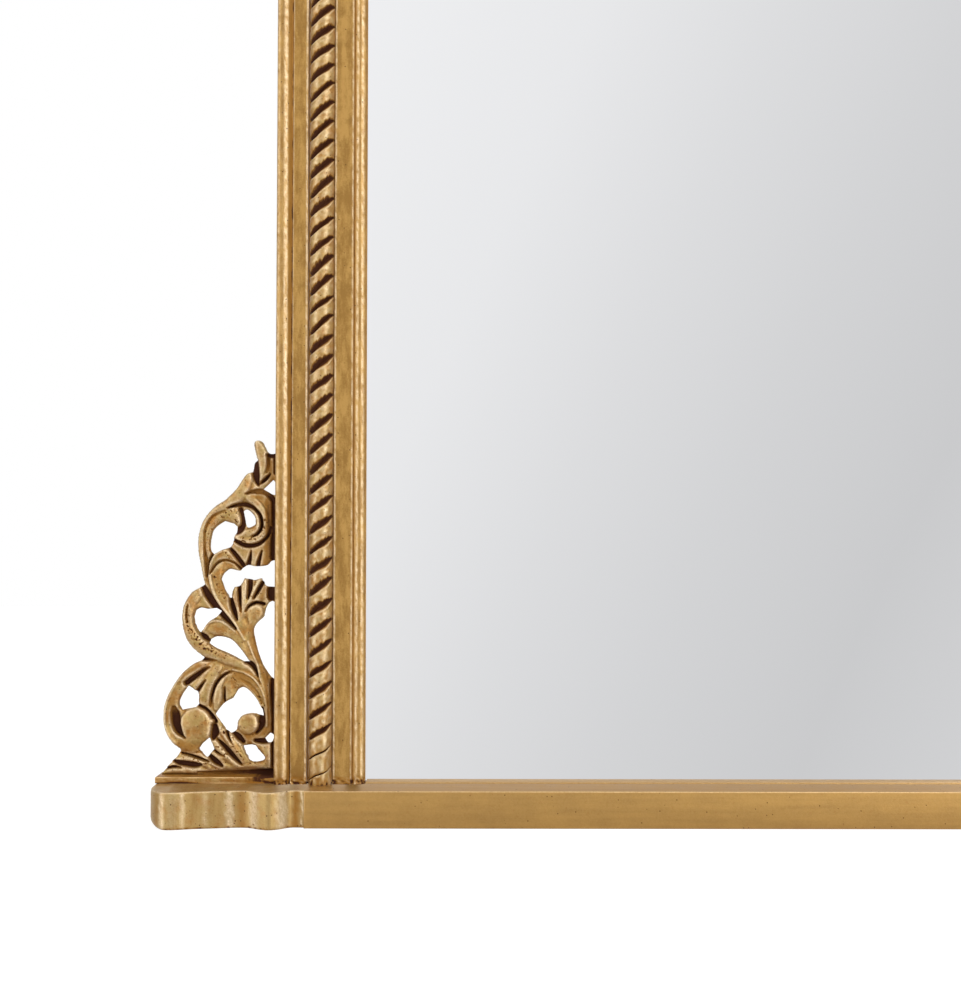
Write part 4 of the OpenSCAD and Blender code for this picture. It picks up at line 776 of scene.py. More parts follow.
# Stems, leaves and knobs: each point is (U, V, half width, height above the carving's flat back).
ear_stems = [
    [(3, 318, 5, 8), (4, 306, 6, 8.5), (3, 295, 4, 7.5)],
    [(18.5, 287, 2.5, 10), (15.5, 297, 3, 12), (12.6, 307, 4.4, 13), (12.8, 316, 6.6, 14),
     (15, 325, 5.6, 14.5), (17.9, 330.4, 3.2, 13.5)],
    [(18.5, 286.5, 2.6, 11), (12.5, 291, 2.4, 11), (6.5, 296.5, 2, 9)],
    [(23, 277, 4, 12), (20.5, 283, 3.4, 12), (17.5, 288, 2.4, 11)],
    [(26.6, 296.2, 4.6, 13), (30, 288.5, 6.6, 14.5), (36, 279.5, 7.4, 15), (45, 270.5, 7, 15),
     (54, 265.3, 5.2, 14.5), (62.5, 260.5, 4.4, 14.5), (69, 252.5, 4, 14.5), (73, 243, 3.7, 14.5),
     (74.2, 232, 3.7, 14), (73.4, 220, 3.8, 13.5), (71.6, 208, 3.8, 13), (70.6, 198, 3, 12),
     (70.2, 190, 2, 10)],
    [(45, 263, 5, 13), (54, 257.5, 4.6, 13), (61, 251, 4, 13), (66.2, 242.5, 3.8, 13),
     (67.9, 232, 3, 12.5), (67.2, 221, 2.8, 12), (65.4, 212, 2, 10)],
    [(54, 258, 4, 12), (45, 257, 6.2, 13), (39, 253.8, 5, 13), (35.4, 250, 2.4, 11)],
    [(30, 281, 4, 11), (27, 277, 4.5, 13), (19, 270.3, 4.4, 13.5), (12.6, 261.5, 4.2, 13.5),
     (10.4, 250, 4, 13.5), (11.8, 241, 4.4, 13), (18, 234.6, 4.2, 13), (27, 232, 4.2, 13),
     (35, 234, 3.8, 13), (39, 237.5, 2.4, 12)],
    [(24, 264, 2.5, 11.5), (18.3, 256, 2.6, 12), (17, 248.5, 2.9, 12.5), (20.5, 242.5, 4, 13),
     (27, 240, 4.6, 13), (34, 238.8, 4.4, 13), (38.6, 238, 2.6, 12)],
    [(41, 229, 3, 9), (35.5, 221, 4.4, 10.5), (31.4, 213, 3.2, 9.5)],
    [(28, 226, 4.4, 10), (22.8, 217.5, 4.4, 11), (22.6, 210, 3.4, 10)],
    [(17, 226.5, 4.4, 9), (12, 218, 5.2, 10), (8.6, 210.5, 4.4, 9)],
    [(36, 208, 3, 11), (44, 214.8, 5.6, 12), (52, 218, 6, 13), (58.6, 212, 6.4, 12.5),
     (60.6, 201, 7.2, 12), (57.5, 188, 8.4, 12.5), (51.5, 177, 8.4, 13), (44, 166, 7.6, 13),
     (36.5, 154, 7, 13), (30, 141, 6, 13), (25, 129, 6.4, 13), (21, 117, 6, 13), (15.5, 104, 5.6, 13),
     (10.5, 92, 4.6, 12.5), (7.6, 80, 4, 12), (5.6, 68, 4, 11.5), (4.2, 57, 3.8, 11), (4.6, 46, 3.2, 10)],
    [(50, 223, 1.6, 13), (57, 220.6, 2, 14.5), (63, 214, 2.2, 15), (65.6, 203, 2.4, 15),
     (62.6, 186, 2.6, 15), (57.4, 174, 2.6, 15), (51, 164.4, 2.6, 15), (43.6, 155, 2.4, 15),
     (36, 143.5, 2.4, 15), (30.5, 134, 2.2, 14.5)],
    [(34, 156, 2.2, 11), (37.6, 168, 3.4, 12), (39.2, 178, 3.2, 12), (41, 185.6, 1.6, 10)],
    [(33, 156, 2.6, 13), (31.2, 168, 3, 14), (30.6, 180, 3.6, 14), (30.6, 192, 3, 12.5)],
    [(31.4, 158, 2.8, 13), (27.4, 169, 2.8, 14), (21.6, 181, 3.4, 14), (16.6, 193, 3, 12.5)],
    [(27, 167, 2, 11), (20, 173.4, 2.8, 12), (12.6, 178.5, 4.2, 11.5), (9.4, 183.5, 4.2, 10)],
    [(19.8, 160.6, 9.4, 14.5), (21, 155, 8, 14.5), (23.4, 147, 5.6, 14), (26, 138, 5.4, 13.5),
     (25.4, 128, 4, 13)],
    [(27, 132, 1.6, 14.5), (21.6, 119, 1.8, 15), (17, 108, 1.8, 15), (15, 96, 1.6, 14.5),
     (9.6, 81, 1.6, 13.5), (7.4, 66, 1.4, 12.5)],
    [(71, 186, 4, 11), (79, 178, 6, 13.5), (85, 168.5, 6.8, 14.5), (87.4, 157, 6.8, 15),
     (86.2, 147, 6.6, 15), (82, 136.5, 7, 15), (74, 127.6, 7.4, 15), (62, 120.8, 7, 15),
     (48, 115, 6.4, 14.5), (34, 109.5, 5.4, 14), (24, 102.5, 4, 13), (17, 95, 2.6, 12)],
    [(76, 168, 2.6, 11), (80, 166.5, 3, 12.5), (83.4, 160, 3, 12.5)],
    [(71, 140, 2.4, 11), (66, 144.2, 5.2, 12.5), (58.5, 145.4, 7.8, 13.5), (50, 144.8, 8, 13.5),
     (42, 140, 7.2, 13.5), (36, 132, 5.8, 13.5), (31, 123, 4.6, 13), (26, 114, 3, 12)],
    [(72, 142, 1.3, 13), (67.6, 149, 1.6, 14), (62, 152.2, 1.6, 14.5), (54, 152, 1.6, 14.5),
     (45, 147, 1.6, 14.5), (37, 139, 1.6, 14)],
    [(68, 112.5, 4, 11), (76, 109, 5, 13), (86, 101, 7.2, 14), (94.5, 90.5, 8.2, 14),
     (100.5, 78.5, 8.2, 14), (103.8, 67, 8, 13.5), (104.3, 56, 7.8, 13), (102.5, 45, 8, 13),
     (97, 36, 8, 13), (90, 29.5, 7, 13)],
    [(82, 107.6, 1.8, 13.5), (92, 99, 2, 15), (99.4, 89, 2.2, 15.5), (105.6, 77.6, 2.4, 15.5),
     (109, 67, 2.4, 15.5), (109.8, 57, 2.2, 15.5), (108.8, 47, 2.2, 15), (105, 37.5, 2.2, 14.5),
     (99, 31, 2.4, 14)],
    [(107, 46, 3.4, 13.5), (103.6, 38, 4.6, 13.5), (97, 31.5, 5.6, 13), (88, 28, 5.6, 12.5),
     (80, 26.5, 4.6, 12)],
    [(64, 107, 3, 12), (70, 99, 3.2, 12.5), (76, 91, 3.2, 12), (80.6, 86, 2.4, 11)],
    [(57, 106, 5, 13), (64.5, 94, 6.4, 13.5), (69.4, 83, 6.8, 13), (71, 73.5, 5.6, 12)],
    [(49, 101.5, 3, 13.5), (55.6, 89, 4.4, 14.5), (57.6, 78, 5.2, 14), (58.6, 66, 3.4, 13)],
    [(42, 97, 5, 11.5), (47.4, 87, 4.8, 12), (46.4, 78, 4.2, 11)],
    [(46, 97, 6, 12), (37, 95, 8.4, 12.5), (28, 92, 8.4, 12.5), (20.5, 85, 7.6, 12.5), (15, 76, 6, 12),
     (11.8, 66, 4.6, 11.5), (10.3, 56, 3.4, 11), (11, 46, 4, 10)],
    [(42, 104, 1.8, 14), (31, 101.4, 1.8, 14.5), (21.6, 95.6, 1.8, 14.5), (14.4, 86.4, 1.8, 14.5),
     (10, 74, 1.6, 14), (8.2, 61, 1.5, 13), (9, 48, 1.4, 12)],
    [(30.5, 43, 6.4, 12), (24, 37, 5.8, 11.5), (16, 37.5, 4.4, 11), (10, 43.5, 3, 10.5)],
    [(54.6, 45.6, 3.2, 12.5), (47.6, 37, 4.4, 13.5), (39.6, 26, 4.4, 13.5), (31.4, 13.5, 4, 12.5)],
    [(46, 41, 2.6, 11.5), (38, 32, 3, 12.5), (31, 22.4, 3, 12.5), (27, 14, 2.6, 12)],
    [(62.4, 34, 3.2, 12), (56, 26, 3.8, 13), (48, 17, 4, 13), (39, 9, 3.6, 12)],
    [(62, 21.4, 2.4, 10.5), (55, 15.4, 3, 11.5), (47, 9, 3, 11)],
    [(13, 31, 2.6, 10.5), (9.4, 24, 4.2, 12), (7.6, 14, 4.6, 12.5), (9, 8, 4, 12)],
    [(93, 22, 2.6, 11), (83, 21.5, 3, 12), (73, 18.5, 3, 12.5), (62, 11.5, 3.6, 12.5), (47, 8, 3, 12),
     (26, 9.4, 3, 12), (9, 8.5, 3, 12)],
    [(99, 15.2, 2, 11), (88, 15.4, 2.6, 12), (77, 12.6, 2.6, 12), (66, 7.6, 3, 12)],
    [(111, 2, 2, 10), (100, 4.2, 2.6, 11.5), (88, 3.6, 3, 12), (72, 3.6, 3, 11.5), (60, 4.6, 2.4, 10.5)],
]
# Bulbs: the two smooth domes that the lower scrolls end in; the left one has a corner on its right.
ear_bulbs = [
    [(79, 51.2, 15.6, 16), (78.4, 44, 14.6, 15.6), (79, 36, 12, 14.6), (81, 29.6, 8, 13)],
    [(72, 52.4, 11, 15.2), (67, 52.8, 6, 14), (62.6, 53, 1.8, 12.8)],
    [(27.3, 51.4, 10.8, 15.6), (26.9, 50.4, 10.6, 15.6)],
]
# Painted shade: amber tone painted where shade falls beside the frame and inside the scrolls: (U, V,
# half width, depth of tone).
ear_painted_shade = [
    [(5, 312, 4, 0.5), (5, 304, 5, 0.45), (4, 294, 5, 0.4)], [(23, 277, 3, 0.3), (14, 276, 4, 0.4)],
    [(6, 274, 6, 0.6), (6, 252, 5, 0.7), (7, 236, 5, 0.7), (6, 222, 6, 0.6), (7, 210, 6, 0.5)],
    [(8, 96, 5, 0.35), (7, 76, 4, 0.5), (6, 56, 4, 0.5), (5, 40, 4, 0.5)],
    [(58, 200, 3.4, 0.2), (55, 190, 3.8, 0.25), (48, 176, 3.6, 0.3), (41, 160, 3, 0.3)],
    [(100, 80, 4, 0.2), (102, 70, 5, 0.4), (104, 58, 4, 0.4), (101, 46, 4, 0.35)],
    [(94, 30, 7, 0.4), (84, 27, 6, 0.4), (76, 27, 5, 0.3)], [(36, 97, 9, 0.4), (26, 92, 7, 0.35),
     (20, 84, 4, 0.25)],
    [(24, 146, 6, 0.3), (21, 130, 4, 0.4), (16, 112, 4, 0.35)], [(14, 106, 3, 0.4), (8, 92, 4, 0.5)],
    [(11, 44, 6, 0.5), (22, 37, 6, 0.35), (32, 42, 4, 0.3)], [(26, 252, 4, 0.25), (20, 244, 3, 0.3)],
    [(87, 152, 3, 0.3), (87, 164, 2.4, 0.3)], [(90, 100, 3, 0.35), (82, 104, 3, 0.35), (76, 108, 3, 0.4)],
    [(39, 180, 3, 0.35), (39, 168, 3, 0.4)], [(10, 184, 5, 0.3), (14, 174, 3, 0.4)],
    [(45, 218, 3, 0.35), (40, 211, 3, 0.35)], [(70, 214, 2.4, 0.4), (69, 202, 3, 0.45)],
]
# Worm-eaten and pitted places: (U, V, half width, how thickly the pits lie).
ear_pitted = [
    [(86.6, 168, 2.4, 0.8), (87.6, 150, 3, 1), (83, 140, 4, 1.1), (76, 131, 5, 1.2),
     (68, 126, 4.6, 1.1), (58, 121, 4, 0.7), (48, 117, 4, 0.5)],
    [(46, 260, 5, 0.7), (54, 256, 4.4, 0.6), (62, 249, 4, 0.5), (67, 238, 3.4, 0.5), (67, 224, 3, 0.5)],
    [(38, 252, 4, 0.9)], [(34, 235, 5, 0.9), (24, 234, 6, 0.8), (14, 240, 5, 0.7), (10, 252, 4, 0.6)],
    [(50, 220, 5, 0.6), (44, 214, 4, 0.6)], [(60, 196, 3, 0.7), (54, 182, 3, 0.7), (46, 168, 3, 0.6)],
    [(19, 190, 5, 0.6), (27, 180, 4, 0.5), (14, 178, 4, 0.5)], [(22, 160, 8, 0.3)], [(44, 100, 5, 0.6),
     (38, 92, 6, 0.6)],
    [(17, 84, 5, 0.5), (13, 70, 4, 0.8)], [(54, 44, 4, 0.6), (46, 36, 5, 0.7), (38, 24, 5, 0.7),
     (30, 12, 5, 0.7), (10, 14, 5, 0.7)],
    [(90, 16, 5, 0.5), (76, 13, 5, 0.5), (60, 8, 5, 0.4)], [(100, 82, 4, 0.4), (94, 92, 4, 0.4)],
    [(30, 290, 6, 0.35)],
    [(58, 26, 5, 0.5), (50, 18, 5, 0.5)], [(24, 40, 5, 0.4)], [(66, 100, 6, 0.25)], [(40, 132, 8, 0.3),
     (54, 145, 6, 0.25)],
]
# Cuts: each point is (U, V, half width, height of the cut's bottom), filled with dark glaze. The wide
# runs beside the frame and along the foot stand for shadow and are painted dark as painted shadow.
ear_cuts_and_shadows = [
    [(16.6, 288.6, 0.6, 8), (12, 292.5, 1.7, 5), (8, 296.5, 1.7, 5), (5.2, 299.6, 0.8, 7)],
    [(6.8, 318, 2.4, 5.6), (1, 318, 3.2, 5)], [(0.6, 314, 1.8, 6.5), (0.4, 300, 1.6, 6.5)],
    [(7, 316, 1.6, 7.4), (7.2, 308, 1.4, 8.4), (9, 301, 1, 8.8)],
    [(18.8, 313.6, 1.8, 6), (20, 306, 3.8, 5), (19.6, 298, 4, 5), (18.4, 291, 2.2, 5.6),
     (16.8, 287.6, 0.8, 7)],
    [(29.6, 279.4, 0.6, 9), (24, 281.4, 1.8, 7.6), (18, 282, 2.8, 7.4), (11, 281, 2.8, 7.2),
     (5, 277, 3.2, 6), (1, 271, 3, 5)],
    [(1.6, 270, 3, 5.5), (1, 250, 3.6, 5), (1.4, 232, 4.2, 5), (1.6, 216, 4.4, 5)],
    [(49.4, 263, 0.5, 11), (60.3, 258.6, 0.7, 10), (66, 252.8, 0.7, 10), (70.1, 243.8, 0.7, 10),
     (70.7, 232.3, 0.7, 10), (70.2, 220, 1.2, 9), (68.2, 207, 2.4, 7.4), (68.4, 197, 1.4, 8)],
    [(35, 264, 2.8, 6), (33, 257, 2, 5.6), (32.4, 249, 2.6, 5.2), (35.5, 243.5, 3.8, 5),
     (38.5, 240.6, 2.4, 6)],
    [(48, 265.2, 0.5, 9), (40, 268, 1.8, 6.6), (31, 269, 2.6, 6), (24.6, 267, 2.2, 6),
     (20.4, 264.4, 1.6, 6)],
    [(22.6, 266, 1.6, 6), (17, 260.6, 1.7, 5.4), (14, 254, 1.8, 5), (14, 246.4, 1.6, 5),
     (17.6, 240, 1.4, 5.6), (24, 236.4, 0.6, 8)],
    [(42, 233.8, 1.6, 5.6), (34.4, 229.5, 2.2, 5), (27, 227.6, 2.2, 5), (18.6, 228.8, 2, 5),
     (12.6, 232.5, 1.7, 5), (7.1, 238.5, 1.6, 5.6), (4.6, 246, 1.4, 6)],
    [(24.4, 223, 0.5, 6.5), (25.3, 216.7, 1.5, 5), (27.4, 208.6, 2.6, 5)],
    [(13.8, 223, 0.5, 6.5), (15.6, 216.7, 1.4, 5), (17.8, 208.4, 2.4, 5)],
    [(46.6, 226.4, 1.2, 6), (42.6, 221.4, 2.2, 5.4), (37, 214.6, 2.4, 5.4), (32, 207.4, 2.4, 5)],
    [(62.4, 219.4, 1.2, 6), (66, 212, 1.2, 6.5), (68, 204, 1, 7.5)],
    [(65.4, 199.6, 0.7, 8.4), (62.4, 204.8, 1, 8), (57.4, 210.6, 1.1, 8), (50.2, 213.2, 1, 8.2),
     (41.8, 211, 1.1, 8), (34.8, 204.8, 1.6, 6.4)],
    [(73.4, 189, 2.4, 5), (68, 179, 4, 5), (61.6, 169.6, 4, 5), (54, 160.4, 3.4, 5),
     (46.6, 152.6, 2.6, 5.5), (39.4, 145, 1.2, 8)],
    [(45, 179, 0.8, 6), (43.6, 171, 2.4, 5), (41, 162, 2.6, 5), (38.4, 154, 1.2, 6.4)],
    [(36.6, 188, 1.9, 5), (36, 178, 1.8, 5), (35.2, 168, 1.2, 7), (34.2, 161, 0.5, 10)],
    [(25.4, 195, 2.5, 5), (25.6, 185, 2.4, 5), (27.2, 175.6, 1.2, 7)],
    [(12.6, 191, 1.9, 5), (17.4, 183, 1.7, 5), (22, 175, 0.9, 7)],
    [(29.8, 162, 0.6, 9), (26.4, 167.4, 1.2, 6), (20.4, 170.6, 1.5, 5), (15.6, 170.6, 1.5, 5),
     (11.6, 169.4, 1.6, 5)],
    [(3.6, 183.4, 5.4, 5), (3.6, 177, 5.4, 5)],
    [(87, 169, 0.7, 11), (88.3, 161, 0.9, 11), (87.6, 151.4, 0.8, 11)],
    [(73.8, 139.8, 1.6, 6), (70, 136.4, 2.8, 5.4), (66, 133, 1.4, 6.4)],
    [(29.6, 111.6, 1.6, 5.5), (23.6, 109.6, 2.8, 5), (19.6, 103.6, 1.8, 5.5), (17, 97, 0.8, 8)],
    [(72, 114.6, 2, 5), (66, 114, 1.4, 7), (58, 113.2, 0.6, 10)],
    [(88.6, 91, 2.8, 5), (80, 97.6, 2.6, 5), (71.6, 103.6, 1.8, 6), (65.4, 106.6, 0.7, 9)],
    [(78.6, 81.8, 2, 5), (74.4, 87.6, 1.5, 6), (69.4, 94, 0.6, 9)],
    [(65.2, 67, 0.7, 8), (63.2, 78.9, 1.5, 6), (58.6, 91, 1.7, 6), (50.2, 99.6, 1.4, 6.5),
     (40.6, 103, 0.5, 10)],
    [(50.4, 86.5, 0.7, 8), (51, 78, 1.2, 6), (50.6, 71, 1.2, 6)],
    [(34, 94, 1, 11.6), (26, 89, 2.2, 10.4), (18.6, 81, 2, 10), (13.6, 71, 1.4, 9.4)],
    [(13, 66, 1.4, 6), (13.4, 57, 3.4, 5), (14.6, 49, 4, 5), (19, 41.6, 1.8, 6)],
    [(3, 94, 2.4, 6), (2.6, 84, 3.2, 5), (1.8, 72, 3.4, 5), (1.2, 58, 3.2, 5), (1, 46, 3.6, 5),
     (1, 36, 3, 5)],
    [(100.8, 66, 2.6, 8.4), (100, 60.4, 4.8, 6), (98.6, 51, 5.2, 5), (95.4, 43, 4.4, 5),
     (90, 37.4, 1.6, 6)],
    [(77.4, 69.4, 1.2, 5.5), (70.4, 64.8, 2.2, 5), (63.4, 58, 2.2, 5), (60, 52.6, 2.4, 5)],
    [(60.6, 48, 2.8, 5), (60.2, 42, 4.4, 5), (62, 36.4, 2.6, 5)],
    [(42, 41.4, 1.6, 5), (37, 37.8, 3.2, 5), (32.2, 32.4, 2.2, 5)],
    [(48.3, 42.4, 1.5, 5.5), (46.2, 36.6, 1.2, 7), (43.2, 31, 0.6, 10)],
    [(58.4, 35.4, 1, 7), (51.4, 28.6, 2.2, 5), (43.6, 20, 2.5, 5), (36.4, 12.6, 1.6, 6),
     (33, 9.6, 0.7, 8)],
    [(61.6, 24.4, 1, 6), (56.6, 21, 1.2, 7), (50.4, 17.6, 0.5, 10)],
    [(65, 18, 2.2, 5), (59.8, 13.2, 3.2, 5), (53.6, 8.6, 1.8, 6)],
    [(93.4, 21.2, 1, 6), (86, 19.6, 1.2, 6), (76, 16.4, 1.4, 6), (66, 12.8, 0.7, 7)],
    [(101, 13.4, 1.4, 6), (96, 11.6, 2.6, 5), (88, 10.4, 3, 5), (80, 9.4, 3, 5), (74.4, 9.6, 1.4, 6)],
    [(108.4, 6, 1, 5), (101.4, 7.4, 1.3, 6), (94, 6.6, 0.7, 8)],
    [(77, 1.8, 1.2, 8.6), (62, 1.6, 2, 7.4), (46, 1.6, 2.4, 7), (28, 2, 2.8, 6.2), (4, 2.4, 3.8, 5)],
    [(20, 33.6, 2, 5.4), (13, 33, 3, 5), (7, 33, 2.4, 5.4)],
    [(1.8, 30, 3.2, 5), (1.4, 18, 3, 5), (1.4, 8, 3, 5)],
    [(84, 25, 2.2, 9), (78, 23.4, 2, 8)],
]


def closed_line(runs, steps):
    """The runs of a closed outline joined up: smooth along each run, with a corner between two."""
    return np.vstack([smooth_line(run, steps) if len(run) > 1 else np.array(run, float) for run in runs])


def nearest_on(loop, points):
    """For each point: its distance from a closed line, the nearest place on it, whether it is inside."""
    start, end = loop, np.roll(loop, -1, axis=0)
    step = end - start
    length = np.maximum((step ** 2).sum(1), 1e-9)
    best, place, inside = np.full(len(points), 1e9), np.zeros_like(points), np.zeros(len(points), bool)
    for a, b, d, l in zip(start, end, step, length):
        share = np.clip(((points - a) @ d) / l, 0, 1)
        foot = a + share[:, None] * d
        gap = ((points - foot) ** 2).sum(1)
        closer = gap < best
        best[closer], place[closer] = gap[closer], foot[closer]
        if a[1] != b[1]:
            crosses = (a[1] > points[:, 1]) != (b[1] > points[:, 1])
            inside ^= crosses & (points[:, 0] < a[0] + (points[:, 1] - a[1]) * d[0] / d[1])
    return np.sqrt(best), place, inside


def gouge_along(points, stroke, change):
    """Calls change(rows, share across, value) for the points that lie within a stroke's half width."""
    line = smooth_line(stroke, 14)
    reach = line[:, 2].max() + 0.5
    lo, hi = line[:, :2].min(0) - reach, line[:, :2].max(0) + reach
    rows = np.where(((points > lo) & (points < hi)).all(1))[0]
    gap = ((points[rows][:, None, :] - line[None, :, :2]) ** 2).sum(2)
    near = gap.argmin(1)
    share = np.sqrt(gap[np.arange(len(rows)), near]) / np.maximum(line[near, 2], 0.05)
    hit = share < 1.0
    change(rows[hit], share[hit], line[near[hit], 3])


def blurred(values, grid_shape, passes):
    """The grid's values, smoothed with their neighbours so many times."""
    out = values.reshape(grid_shape).copy()
    for _ in range(passes):
        for axis in (0, 1):
            out = (np.roll(out, 1, axis) + 2 * out + np.roll(out, -1, axis)) / 4
    return out.ravel()


def carve_ear():
    """The carving's front as one skin over its pierced outline, with side walls and a flat back."""
    cell, wide, tall, leaf_level = 0.68, 119.0, 334.0, 10.4
    nu, nv = int(wide / cell), int(tall / cell)
    us, vs = np.meshgrid(np.linspace(-2.0, wide - 2.0, nu + 1), np.linspace(0.0, tall, nv + 1),
                         indexing="ij")
    points = np.stack([us.ravel(), vs.ravel()], 1)
    shape = us.shape
    level = np.full(len(points), leaf_level)
    cut_and_shadow, shade, pitted = np.zeros(len(points)), np.zeros(len(points)), np.zeros(len(points))

    def raise_stem(rows, share, top):
        level[rows] = np.maximum(level[rows], leaf_level + (top - leaf_level) * (1.0 - share ** 2.4) ** 0.6)

    # A cut sinks the surface and is painted dark; where it stands for shadow, the dark is painted shadow.
    def sink(rows, share, bottom):
        fall = np.clip(1.6 * (1.0 - share ** 2.2), 0, 1)
        level[rows] = np.minimum(level[rows], level[rows] + (bottom - level[rows]) * fall)
        cut_and_shadow[rows] = np.maximum(cut_and_shadow[rows], fall * np.clip((11.6 - bottom) / 6.6, 0.2, 1.0))

    def raise_bulb(rows, share, top):
        level[rows] = np.maximum(level[rows], 12.4 + (top - 12.4) * np.sqrt(1.0 - share ** 2))
        cut_and_shadow[rows] = 0.0

    # Paints amber shade along a stroke.
    def tone(rows, share, depth):
        shade[rows] = np.maximum(shade[rows], depth * (1.0 - share ** 2))

    def pit(rows, share, thickly):
        pitted[rows] = np.maximum(pitted[rows], thickly * (1.0 - share ** 2))

    for strokes, change in ((ear_stems, raise_stem), (ear_cuts_and_shadows, sink), (ear_bulbs, raise_bulb),
                            (ear_painted_shade, tone), (ear_pitted, pit)):
        for stroke in strokes:
            gouge_along(points, stroke, change)
    level = blurred(level, shape, 1)
    tool_marks = np.array([ripple(u * 0.16, v * 0.16, 4.0) + 0.5 * ripple(u * 0.5, v * 0.5, 9.0)
                           for u, v in points])
    level = level + tool_marks * np.clip((level - 6.0) / 6.0, 0, 1) * 0.45
    hollow = blurred(level, shape, 14) - level
    pock = np.array([ripple(u * 0.42, v * 0.42, 21.0) + 0.5 * ripple(u * 1.1, v * 1.1, 33.0)
                     for u, v in points])
    pock = np.clip((pock + 0.42 * pitted - 0.5) * 5.0, 0, 1) * np.clip(2.0 * pitted, 0, 1)
    # Amber spreads beside each cut, partly glaze and partly painted shade; the crests are painted pale, rubbed
    # wear and painted highlights.
    beside_cut = 0.75 * blurred(cut_and_shadow, shape, 8)
    glaze_and_shade = np.maximum.reduce([cut_and_shadow, beside_cut, shade + hollow * 0.1, hollow * 0.3, 0.95 * pock])
    glaze_and_shade = np.clip(glaze_and_shade, 0, 1)
    rubbed_and_highlight = np.clip((-hollow - 0.1) * 0.8, 0, 1) * (1 - cut_and_shadow) * (1 - shade) * (1 - pock)
    level = level - 0.7 * pock

    outline = closed_line(ear_outline, 6)
    gap, _, kept = nearest_on(outline, points)
    loops = [outline]
    for hole in ear_holes:
        loop = closed_line(hole, 5)
        loops.append(loop)
        hole_gap, _, inside = nearest_on(loop, points)
        gap = np.minimum(gap, hole_gap)
        kept &= ~inside
    rim = np.where(kept, np.clip(gap / 1.6, 0, 1), 0.0)
    level = 3.0 + (level - 3.0) * (0.72 + 0.28 * np.sqrt(rim))

    bm = bmesh.new()
    bmesh.ops.create_grid(bm, x_segments=nu, y_segments=nv, size=0.5)
    glaze_and_shade_layer = bm.verts.layers.float.new("glaze_and_shade")
    rubbed_and_highlight_layer = bm.verts.layers.float.new("rubbed_and_highlight")
    for v in bm.verts:
        i, j = round((v.co.x + 0.5) * nu), round((v.co.y + 0.5) * nv)
        n = i * (nv + 1) + j
        v.co = Vector((points[n, 0], points[n, 1], level[n]))
        v[glaze_and_shade_layer], v[rubbed_and_highlight_layer] = glaze_and_shade[n], rubbed_and_highlight[n]
    centres = np.array([f.calc_center_median()[:2] for f in bm.faces])
    keep = nearest_on(outline, centres)[2]
    for loop in loops[1:]:
        keep &= ~nearest_on(loop, centres)[2]
    bmesh.ops.delete(bm, geom=[f for f, k in zip(list(bm.faces), keep) if not k], context="FACES")
    edge_verts = [v for v in bm.verts if any(len(e.link_faces) == 1 for e in v.link_edges)]
    ends = np.array([v.co[:2] for v in edge_verts])
    best, place = np.full(len(ends), 1e9), ends.copy()
    for loop in loops:
        d, p, _ = nearest_on(loop, ends)
        closer = d < best
        best[closer], place[closer] = d[closer], p[closer]
    for v, p, d in zip(edge_verts, place, best):
        if d < 1.2:
            v.co.x, v.co.y = p
    # The back edges are undercut, as a carver thins a pierced leaf from behind.
    ends = np.array([v.co[:2] for v in edge_verts])
    inward = np.array([np.mean([f.calc_center_median()[:2] for f in v.link_faces], 0) for v in edge_verts])
    inward = inward - ends
    inward /= np.maximum(np.linalg.norm(inward, axis=1), 1e-6)[:, None]
    row_of = {v: i for i, v in enumerate(edge_verts)}
    rim_edges = [e for e in bm.edges if len(e.link_faces) == 1]
    pairs = np.array([(row_of[e.verts[0]], row_of[e.verts[1]]) for e in rim_edges])
    under = np.zeros(len(ends))
    for reach in (0.8, 1.6, 2.4):
        probe, room = ends + inward * reach, np.full(len(ends), 9.0)
        for loop in loops:
            near = ((probe > loop.min(0) - 3) & (probe < loop.max(0) + 3)).all(1)
            room[near] = np.minimum(room[near], nearest_on(loop, probe[near])[0])
        under = np.where((room > 0.8 * reach) & (under > reach - 1.0), reach, under)
    move = inward * under[:, None]
    for _ in range(6):
        total, count = move.copy(), np.ones(len(ends))
        for i, j in ((0, 1), (1, 0)):
            np.add.at(total, pairs[:, i], move[pairs[:, j]])
            np.add.at(count, pairs[:, i], 1)
        move = total / count[:, None]
    tucked = {(round(u, 4), round(w, 4)): (u + a, w + b) for (u, w), (a, b) in zip(ends, move)}
    made = bmesh.ops.extrude_edge_only(bm, edges=rim_edges)["geom"]
    back = [v for v in made if isinstance(v, bmesh.types.BMVert)]
    for v in back:
        v.co.z = 0.0
        v[glaze_and_shade_layer], v[rubbed_and_highlight_layer] = 0.55, 0.0
    back_set = set(back)
    back_edges = [e for e in bm.edges if len(e.link_faces) == 1 and all(v in back_set for v in e.verts)]
    bmesh.ops.triangle_fill(bm, use_beauty=True, edges=back_edges)
    for v in back:
        v.co.x, v.co.y = tucked[(round(v.co.x, 4), round(v.co.y, 4))]
    # The straight foot was skipped by the fill, and the undercut has opened it.
    bmesh.ops.contextual_create(bm, geom=[e for e in bm.edges if len(e.link_faces) == 1])
    for v in bm.verts:
        u, w, h = v.co
        v.co = Vector((CARVING_X + UNIT * u + CARVING_LEAN * w, Y_CARVING - h, CARVING_Z + UNIT * w))
        v.co.x = max(v.co.x, OUTER_R)
    return bm


carved_leaf = gilding("gilt_carving_glazed_leaf_with_painted_light", "a07a44", "bb9a64", "e8d2ac", 0.42, (1.0, 1.0, 1.0),
                      (3.2, 0.5, 0.4), mottle=0.45, patchy=0.6, grain=2.2)
ear = carve_ear()
for side, flip in SIDES:
    add_piece(ear.copy(), "carved_ear_" + side, "carving_" + side, [carved_leaf],
              flip, angle=50)
ear.free()

